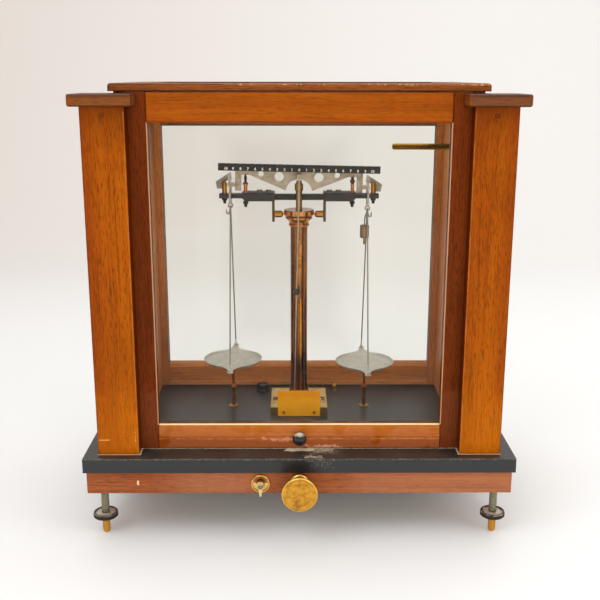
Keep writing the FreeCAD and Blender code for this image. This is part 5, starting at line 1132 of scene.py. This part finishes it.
@dataclass
class Pillar(Assembly):
    """Brass block, plate, pillar, post, level and ball stud.

    Args:
        axis: Foot of the pillar's axis.
        width, depth: Ranges that hold the pillar, in millimetres.
    """

    axis: Triple = (0.0, 0.0325, 0.0)
    width: Span = (-20.0, 20.0)
    depth: Span = (12.0, 52.0)

    def dress(self) -> None:
        """Finishes the block, the plate, the pillar and what stands on it, and the screws."""
        self.give(Metal("Block brass", "dcb66a", "96703a", 0.5, 0.6, dust=0.3, metallic=0.5,
                        brush=(60.0, 2600.0, 2600.0), marks=(
            Mark((-34, 34), (-1, 0.9), (91, 102.2), "5c3e10", 0.9, 0.4, 0.4),
            Mark((22.6, 30.6), (21, 34), ALL, "5e3a1a", 0.9, 1.4, 0.3, both=True))), "pillar_base")
        self.give(Metal("Plate gold", "ffb000", "ec9600", 0.5, 0.4, metallic=0.1,
                        brush=(60.0, 2600.0, 2600.0), dust=0.0, edge=0.1, sheen=0.06, marks=(
            # Painted shade: the plate darkens towards the top.
            Mark(ALL, ALL, (110, 300), "e28800", 0.6, 9.0),)), "index_plate")
        self.give(Metal("Pillar lacquer", "be7c34", "824c1b", 0.12, 0.5, scale=70.0,
                        # The streak bands are painted reflections down the pillar.
                        streaks=self.axis, streak="4a260e", dust=0.05, marks=(
            Mark(ALL, ALL, (304, 900), "d89654", 0.75, 3.0),
            # Painted highlight: a bright golden streak down the front of the tube.
            Mark((0.6, 3.4), (-900, 30), (60, 225), "e08e16", 0.7, 1.1, 0.4, 60.0),
            Mark(self.width, self.depth, (323.4, 326), "806852", 0.7, 0.3),
            Mark(self.width, self.depth, (316.8, 318.2), "683416", 0.7, 0.4),
            Mark(self.width, self.depth, (308.4, 310.0), "623014", 0.7, 0.5))), "pillar_tube")
        self.give(Metal("Post metal", "deb268", "8c6638", 0.24, 0.5,
                        # The streak bands are painted reflections down the post.
                        streaks=self.axis, streak="8a683c"), "knife_post")
        self.give(Dark("Agate", base="785c4a", worn="b09680", rough=0.1, scuffs=0.4,
                       dust=0.0), "knife_plane")
        self.give(Dark("Level black", base="090909", worn="282624", rough=0.12, scuffs=0.1,
                       dust=0.02), "spirit_level")
        self.give(Metal("Stud brass", BRASS, BRASS_DULL, 0.2, 0.3), "ball_stud")
        self.give(Metal("Screw brass", "cea054", "603c18", 0.26, 0.6, marks=(
            Mark((15, 20), (-3, -1), (94, 99), "704208", 0.85, 0.3, both=True),
            Mark((23, 30), (24, 31), (100, 104), "683e1c", 0.9, 0.3, both=True),
            # Painted glint on the right block screw.
            Mark((24, 26.6), (25.5, 30), (100, 104), "fff6dc", 0.95, 0.5),
            # Painted highlights on the escutcheon screws.
            Mark((-48, -32), (-120, -117), (62, 67), "faecc4", 0.7, 0.3))), "case_screws")


@dataclass
class BeamGroup(Assembly):
    """Beam, rider bar with its scale, knives, pointer and bob.

    Args:
        divisions, step: Divisions to either side of the middle, and their distance.
        knife, tilt: Edge on which the beam rests, and how far it leans in degrees.
        rise: Height of the bar's lower edge over the knife edge, when level.
        margin, height: Gap under the figures, and their height.
        body_size: Type size over the height of a figure.
        stroke: How much the strokes are thickened.
        proud: How far the figures lie in front of the bar.
    """

    divisions: int = 10
    step: float = 0.00805
    knife: Triple = (0.0, 0.0325, 0.356)
    tilt: float = 1.2
    rise: float = 0.0099
    margin: float = 0.0011
    height: float = 0.0029
    body_size: float = 1.38
    stroke: float = 0.00016
    proud: float = 0.0002

    def dress(self) -> None:
        """Finishes the beam and its parts, and paints the scale."""
        self.give(Metal("Truss metal", "c4b6a2", "8c806e", 0.45, 0.6, metallic=0.55,
                        brush=(60.0, 2600.0, 2600.0)), "beam_truss")
        self.give(Dark("Bar black", base="22201e", worn="544e46", rough=0.4, scuffs=0.25,
                       dust=0.2), "rider_bar")
        self.give(Metal("Knife steel", "dcd8ce", STEEL_DULL, 0.2, 0.3), "knives")
        self.give(Metal("Pointer steel", "b8ac9a", "766a5c", 0.3, 0.4, metallic=0.7,
                        marks=(Mark((-8, 8), (24, 32), (340, 366), "78542c", 0.7, 0.5),)), "pointer")
        self.give(Metal("Bob brass", "544c44", "2c2622", 0.3, 0.5), "gravity_bob")
        self.scale()

    def scale(self) -> None:
        """Painted figures on the rider bar's face."""
        paint = Dark("Scale paint", base="ece9de", worn="b0aa9c", rough=0.55,
                     scuffs=0.4, dust=0.0).build(self.effects)
        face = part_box("rider_bar")[0].y
        knife = Vector(self.knife)
        lean = Matrix.Rotation(math.radians(self.tilt), 4, Vector((0.0, 1.0, 0.0)))
        mesh = bmesh.new()
        for index in range(-self.divisions, self.divisions + 1):
            self.figure(mesh, str(abs(index)), index * self.step, face, knife.z + self.rise + self.margin)
        place = Matrix.Translation(knife) @ lean @ Matrix.Translation(-knife)
        bmesh.ops.transform(mesh, matrix=place, verts=mesh.verts)
        obj = make("rider_scale", mesh, paint)
        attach(obj, "beam")

    def figure(self, mesh: bmesh.types.BMesh, text: str, x: float, face: float, low: float) -> None:
        """Adds plain figures, centred on a division.

        Args:
            mesh: The mesh they are added to.
            text: The figures.
            x: Place of the division.
            face: Depth of the bar's face.
            low: Height of the figures' feet.
        """
        curve = bpy.data.curves.new("figure", "FONT")
        curve.body, curve.size, curve.offset = text, self.height * self.body_size, self.stroke
        curve.align_x, curve.resolution_u = "CENTER", 2
        temp = bpy.data.objects.new("figure", curve)
        bpy.context.scene.collection.objects.link(temp)
        bpy.context.view_layer.update()
        turn = Matrix.Translation((x, face - self.proud, low)) @ Matrix.Rotation(math.pi / 2.0, 4, "X")
        start = len(mesh.verts)
        mesh.from_mesh(temp.to_mesh())
        mesh.verts.ensure_lookup_table()
        bmesh.ops.transform(mesh, matrix=turn, verts=mesh.verts[start:])
        temp.to_mesh_clear()
        bpy.data.objects.remove(temp)
        bpy.data.curves.remove(curve)


@dataclass
class Arrestment(Assembly):
    """Arms, bar, pins, supports, guides, rod, shaft and knob.

    Args:
        depth: Depth range that holds the arms, in millimetres.
        rim: Radius beyond which the knob's edge gets a painted highlight.
    """

    depth: Span = (20.0, 40.0)
    rim: float = 0.0168

    def dress(self) -> None:
        """Finishes the arrestment from its arms to its knob."""
        black, brown = "282422", "5c3e22"
        self.give(Dark("Arm black", base="282421", worn="60564c", rough=0.36, scuffs=0.3,
                       dust=0.2), "arrest_arms")
        self.give(Metal("Fastener brass", "b09060", "60482c", 0.3, 0.5, metallic=0.8, marks=(
            Mark((50, 90), self.depth, (325, 338), black, 0.92, 0.3, both=True),
            Mark((50, 90), self.depth, (353, 359), "463e36", 0.8, 0.3, both=True))), "arrest_fasteners")
        self.give(Metal("Pin copper", "e28446", "7c401e", 0.22, 0.5, marks=(
            Mark((-66, -50), self.depth, (353.2, 366), "3a322e", 0.92, 0.6),
            Mark((-66, 66), self.depth, (349.5, 352.4), "b29678", 0.7, 0.4),
            Mark((50, 66), self.depth, (352.4, 362), "42403e", 0.9, 0.5))), "arrest_pins")
        self.give(Metal("Support brass", "ce9230", "704814", 0.24, 0.5, metallic=0.85, marks=(
            Mark((82.8, 86), (28, 37), (340, 358), brown, 0.75, 0.6, both=True),
            Mark((79, 86), (28, 37), (353.6, 358), brown, 0.7, 0.6, both=True))), "stirrup_supports")
        self.give(Metal("Guide brass", "e0963e", "8c541e", 0.22, 0.5, metallic=0.9, marks=(
            Mark((26.6, 30.4), (28, 38), (310, 335), "463e30", 0.92, 0.3, both=True),
            Mark((17, 26.6), (28, 38), (314, 317.4), "4a240c", 0.85, 0.8, both=True),
            Mark((17, 26.6), (28, 38), (321.2, 324), "6e3c16", 0.6, 0.8, both=True))), "arrest_guides")
        self.give(Metal("Rod steel", STEEL, STEEL_DULL), "push_rod", "arrest_shaft")
        low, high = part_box("arrest_knob")
        centre = ((low.x + high.x) / 2.0, low.y, (low.z + high.z) / 2.0)
        # The knob's rim carries a painted highlight.
        self.give(Metal("Knob brass", "dca03c", "92682c", 0.24, 0.85, centre=centre,
                        scale=150.0, edge=0.8, rim=self.rim), "arrest_knob")


@dataclass
class Drives(Assembly):
    """Escutcheons, bearings, the brake lever and the pan brakes."""

    def dress(self) -> None:
        """Finishes the drives from the escutcheons to the brake stems."""
        self.give(Metal("Escutcheon brass", "e6b660", BRASS_DULL, 0.2, 0.4, edge=0.7, marks=(
            Mark((-47.2, -32.6), (-119.0, -116), (65.6, 73.2), "803a1a", 0.8, 1.2, 0.2),
            # Painted highlight on the upper rim of the escutcheon.
            Mark((-52, -28), (-125, -118.8), (69, 78), "ffeec4", 0.7, 2.0))),
                  "front_escutcheons")
        self.give(Metal("Bush brass", "be964e", "5a4628", 0.3, 0.6, marks=(
            Mark((190, 220), (-110, -80), (47, 54), "56584a", 0.85, 0.3, both=True),)),
                  "guide_bushes", "shaft_brackets")
        self.give(Metal("Lever brass", "e8ce96", BRASS_DULL, 0.22, 0.3, marks=(
            Mark((-43, -36), (-126, -123.8), (60.4, 66.4), "604a30", 0.7, 0.8),)), "brake_lever")
        self.give(Metal("Brake steel", STEEL, STEEL_DULL), "brake_shaft", "brake_yoke")
        self.give(Metal("Stem brass", "b06e3c", "50301a", 0.3, 0.5), "brake_stems")


@dataclass
class Hangers(Assembly):
    """Stirrups, pans and the tare weight.

    Args:
        across: 1 for each axis across a pan's turning axis.
    """

    across: Triple = (1.0, 1.0, 0.0)

    def dress(self) -> None:
        """Finishes the stirrups, the pans and the tare weight."""
        self.give(Metal("Stirrup metal", "beb6a8", "6e6456", 0.3, 0.5, metallic=0.7, marks=(
            Mark((80, 95), (20, 45), (340, 366), "8c8470", 0.5, 0.8, both=True),)),
                  "left_stirrup", "right_stirrup")
        wire = Mark((30, 120), (-30, 90), (158, 335), "928e86", 0.8, 2.0, both=True)
        for node in ("left_pan", "right_pan"):
            self.give(Metal(node + " nickel", "cecabe", "aaa69a", 0.42, 0.5, metallic=0.6,
                            centre=upright_axis(*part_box(node)), across=self.across, marks=(wire,)), node)
        self.give(Metal("Tare brass", "9e8662", "5c4a32", 0.32, 0.6, metallic=0.8), "tare_weight")


@dataclass
class RiderCarrier(Assembly):
    """Rod that carries the rider.

    Args:
        reach: Width range of its part inside the case, in millimetres.
    """

    reach: Span = (100.0, 170.0)

    def dress(self) -> None:
        """Finishes the rod."""
        self.give(Metal("Rider brass", "ba8c1e", "7a540a", 0.2, 0.4, marks=(
            # Painted shade on the rod's upper half and a painted highlight along its lower half.
            Mark(self.reach, ALL, (391.2, 395.4), "704c2c", 0.85, 0.7),
            Mark(self.reach, ALL, (380, 390.8), "f0c028", 0.8, 0.4),)), "rider_rod")


@dataclass
class Feet(Assembly):
    """Levelling screws."""

    LAYERS = ((20.0, (-1, 17.9), "ce9430", 0.9, 0.3),
              (20.0, (23.15, 24), "3c2e22", 0.9, 0.1),
              (8.8, (15, 23.1), "ece0d4", 0.92, 1.0, 0.4, 200.0),
              (4.8, (22.6, 80), "565846", 0.9, 0.2, 0.2, 400.0),
              (9.0, (24, 80), "a8a48a", 0.6, 0.3, 6.0, 700.0))

    def dress(self) -> None:
        """Finishes each screw in layers: half width and height range in millimetres, then a mark's colour on."""
        for node in ("left_foot", "right_foot"):
            centre = upright_axis(*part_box(node))
            x, y = centre[0] * PER_METRE, centre[1] * PER_METRE
            marks = tuple(Mark((x - half, x + half), (y - half, y + half), *layer)
                          for half, *layer in self.LAYERS)
            self.give(Metal(node + " metal", "3a342e", "221e1c", 0.45, 0.7, scale=160.0,
                            thread=centre, dust=2.2, grime="e2d4c8", metallic=0.6, marks=marks), node)


# ------------------------------------------------------------------ stage
@dataclass(frozen=True)
class Lamp:
    """Soft square light.

    Args:
        name: Its name.
        place: Where it hangs.
        size: Length of its side.
        power: Its power in watts.
        glossy: Whether it is seen in polished surfaces and through the glass.
        colour: Its colour.
    """

    name: str
    place: Triple
    size: float
    power: float
    glossy: bool = True
    colour: Colour = (0.86, 0.95, 1.0)

    def light(self, aim: Vector) -> None:
        """Hangs the lamp.

        Args:
            aim: The point it is turned to.
        """
        lamp = bpy.data.lights.new(self.name, "AREA")
        lamp.size, lamp.energy, lamp.color = self.size, self.power, self.colour
        obj = bpy.data.objects.new(self.name, lamp)
        obj.location = self.place
        obj.rotation_euler = (aim - Vector(self.place)).to_track_quat("-Z", "Y").to_euler()
        obj.visible_glossy = obj.visible_transmission = self.glossy
        bpy.context.scene.collection.objects.link(obj)


@dataclass
class Stage:
    """Floor, backdrop, lights and camera.

    Args:
        viewpoint: Where the camera stands.
        pitch, yaw, roll: Its turns in degrees: downward, sideways and about its own axis.
        lens, sensor: Focal length and sensor width in millimetres.
        aim: The point the lamps are turned to.
        near, far: Depths at which the floor starts and the sweep begins.
        bend, steps: Radius of the sweep, and its steps.
        top, half: Height of the wall, and half its width.
        air, glow: Colour and strength of the light of the room.
    """

    viewpoint: Triple = (-0.00521, -0.95769, 0.46876)
    pitch: float = 14.1016
    yaw: float = 0.3745
    roll: float = 0.0639
    lens: float = 53.64
    sensor: float = 36.0
    aim: Triple = (0.0, 0.0, 0.22)
    near: float = -3.0
    far: float = 1.2
    bend: float = 1.0
    steps: int = 12
    top: float = 4.5
    half: float = 5.0
    air: Colour = (1.0, 0.88, 0.79)
    glow: float = 0.71

    def build(self) -> None:
        """Sets the stage."""
        self.backdrop()
        for lamp in (Lamp("Key", (-1.2, -1.3, 2.0), 1.5, 16.5), Lamp("Fill", (1.5, -1.1, 1.5), 1.4, 10.0),
                     Lamp("Top", (0.0, 0.5, 2.2), 2.2, 17.0),
                     Lamp("Low front", (0.0, -2.0, 0.35), 1.6, 25.0, False, (1.0, 0.90, 0.80))):
            lamp.light(Vector(self.aim))
        world = bpy.data.worlds.new("Room")
        world.use_nodes = True
        graph, sky = Graph(world.node_tree), world.node_tree.nodes["Background"]
        graph.fill(sky, {"Color": self.air, "Strength": self.glow})
        bpy.context.scene.world = world
        self.camera()
        bpy.context.scene.view_settings.view_transform = "Standard"

    def backdrop(self) -> None:
        """Floor that sweeps up into a wall."""
        mesh = bmesh.new()
        profile = [(self.near, 0.0), (self.far, 0.0)]
        for step in range(1, self.steps + 1):
            angle = math.pi / 2.0 * step / self.steps
            profile.append((self.far + self.bend * math.sin(angle), self.bend * (1.0 - math.cos(angle))))
        profile.append((self.far + self.bend, self.top))
        rows = [[mesh.verts.new((x, y, z)) for x in (-self.half, self.half)] for y, z in profile]
        for first, second in zip(rows[:-1], rows[1:]):
            mesh.faces.new((first[0], first[1], second[1], second[0])).smooth = True
        make("Sweep", mesh, self.paper())

    @staticmethod
    def paper() -> bpy.types.Material:
        """Paper of the backdrop, with painted light: lighter to the right and in front of the case.

        Returns:
            The material.
        """
        material = bpy.data.materials.new("Paper")
        material.use_nodes = True
        graph, shader = Graph(material.node_tree), material.node_tree.nodes["Principled BSDF"]
        parts = graph.split(graph.place())
        # Painted light: the paper darkens to the left and towards the wall, and lightens in front of the case.
        across = graph.remap(parts[0], -1.1, 1.3)
        wall = graph.blend(across, (0.755, 0.73, 0.715), (0.89, 0.905, 0.915))
        floor = graph.blend(across, (0.82, 0.835, 0.85), (0.95, 0.985, 1.0))
        floor = graph.blend(graph.remap(parts[1], -0.5, -0.16), (0.975, 0.985, 0.995), floor)
        graph.fill(shader, {"Base Color": graph.blend(graph.remap(parts[1], 0.4, 1.8), floor, wall),
                            "Roughness": 0.8})
        return material

    def camera(self) -> None:
        """Camera in front of the case."""
        data = bpy.data.cameras.new("View")
        data.lens, data.sensor_width = self.lens, self.sensor
        obj = bpy.data.objects.new("View", data)
        obj.location = self.viewpoint
        yaw = Matrix.Rotation(-math.radians(self.yaw), 4, "Z")
        pitch = Matrix.Rotation(math.radians(90.0 - self.pitch), 4, "X")
        roll = Matrix.Rotation(math.radians(self.roll), 4, "Z")
        obj.rotation_euler = (yaw @ pitch @ roll).to_euler()
        bpy.context.scene.collection.objects.link(obj)
        bpy.context.scene.camera = obj


def main() -> None:
    """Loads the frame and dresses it."""
    logging.basicConfig(level=logging.INFO, format="%(name)s: %(message)s")
    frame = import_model()
    effects = build_effects()
    for kind in (Base, Columns, Carcass, Sash, Counterpoise, Pillar, BeamGroup, Arrestment, Drives, Hangers,
                 RiderCarrier, Feet):
        LOG.info("dressing %s", kind.__name__)
        kind(frame, effects).dress()
    Stage().build()
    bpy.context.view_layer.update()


if __name__ == "__main__":
    main()
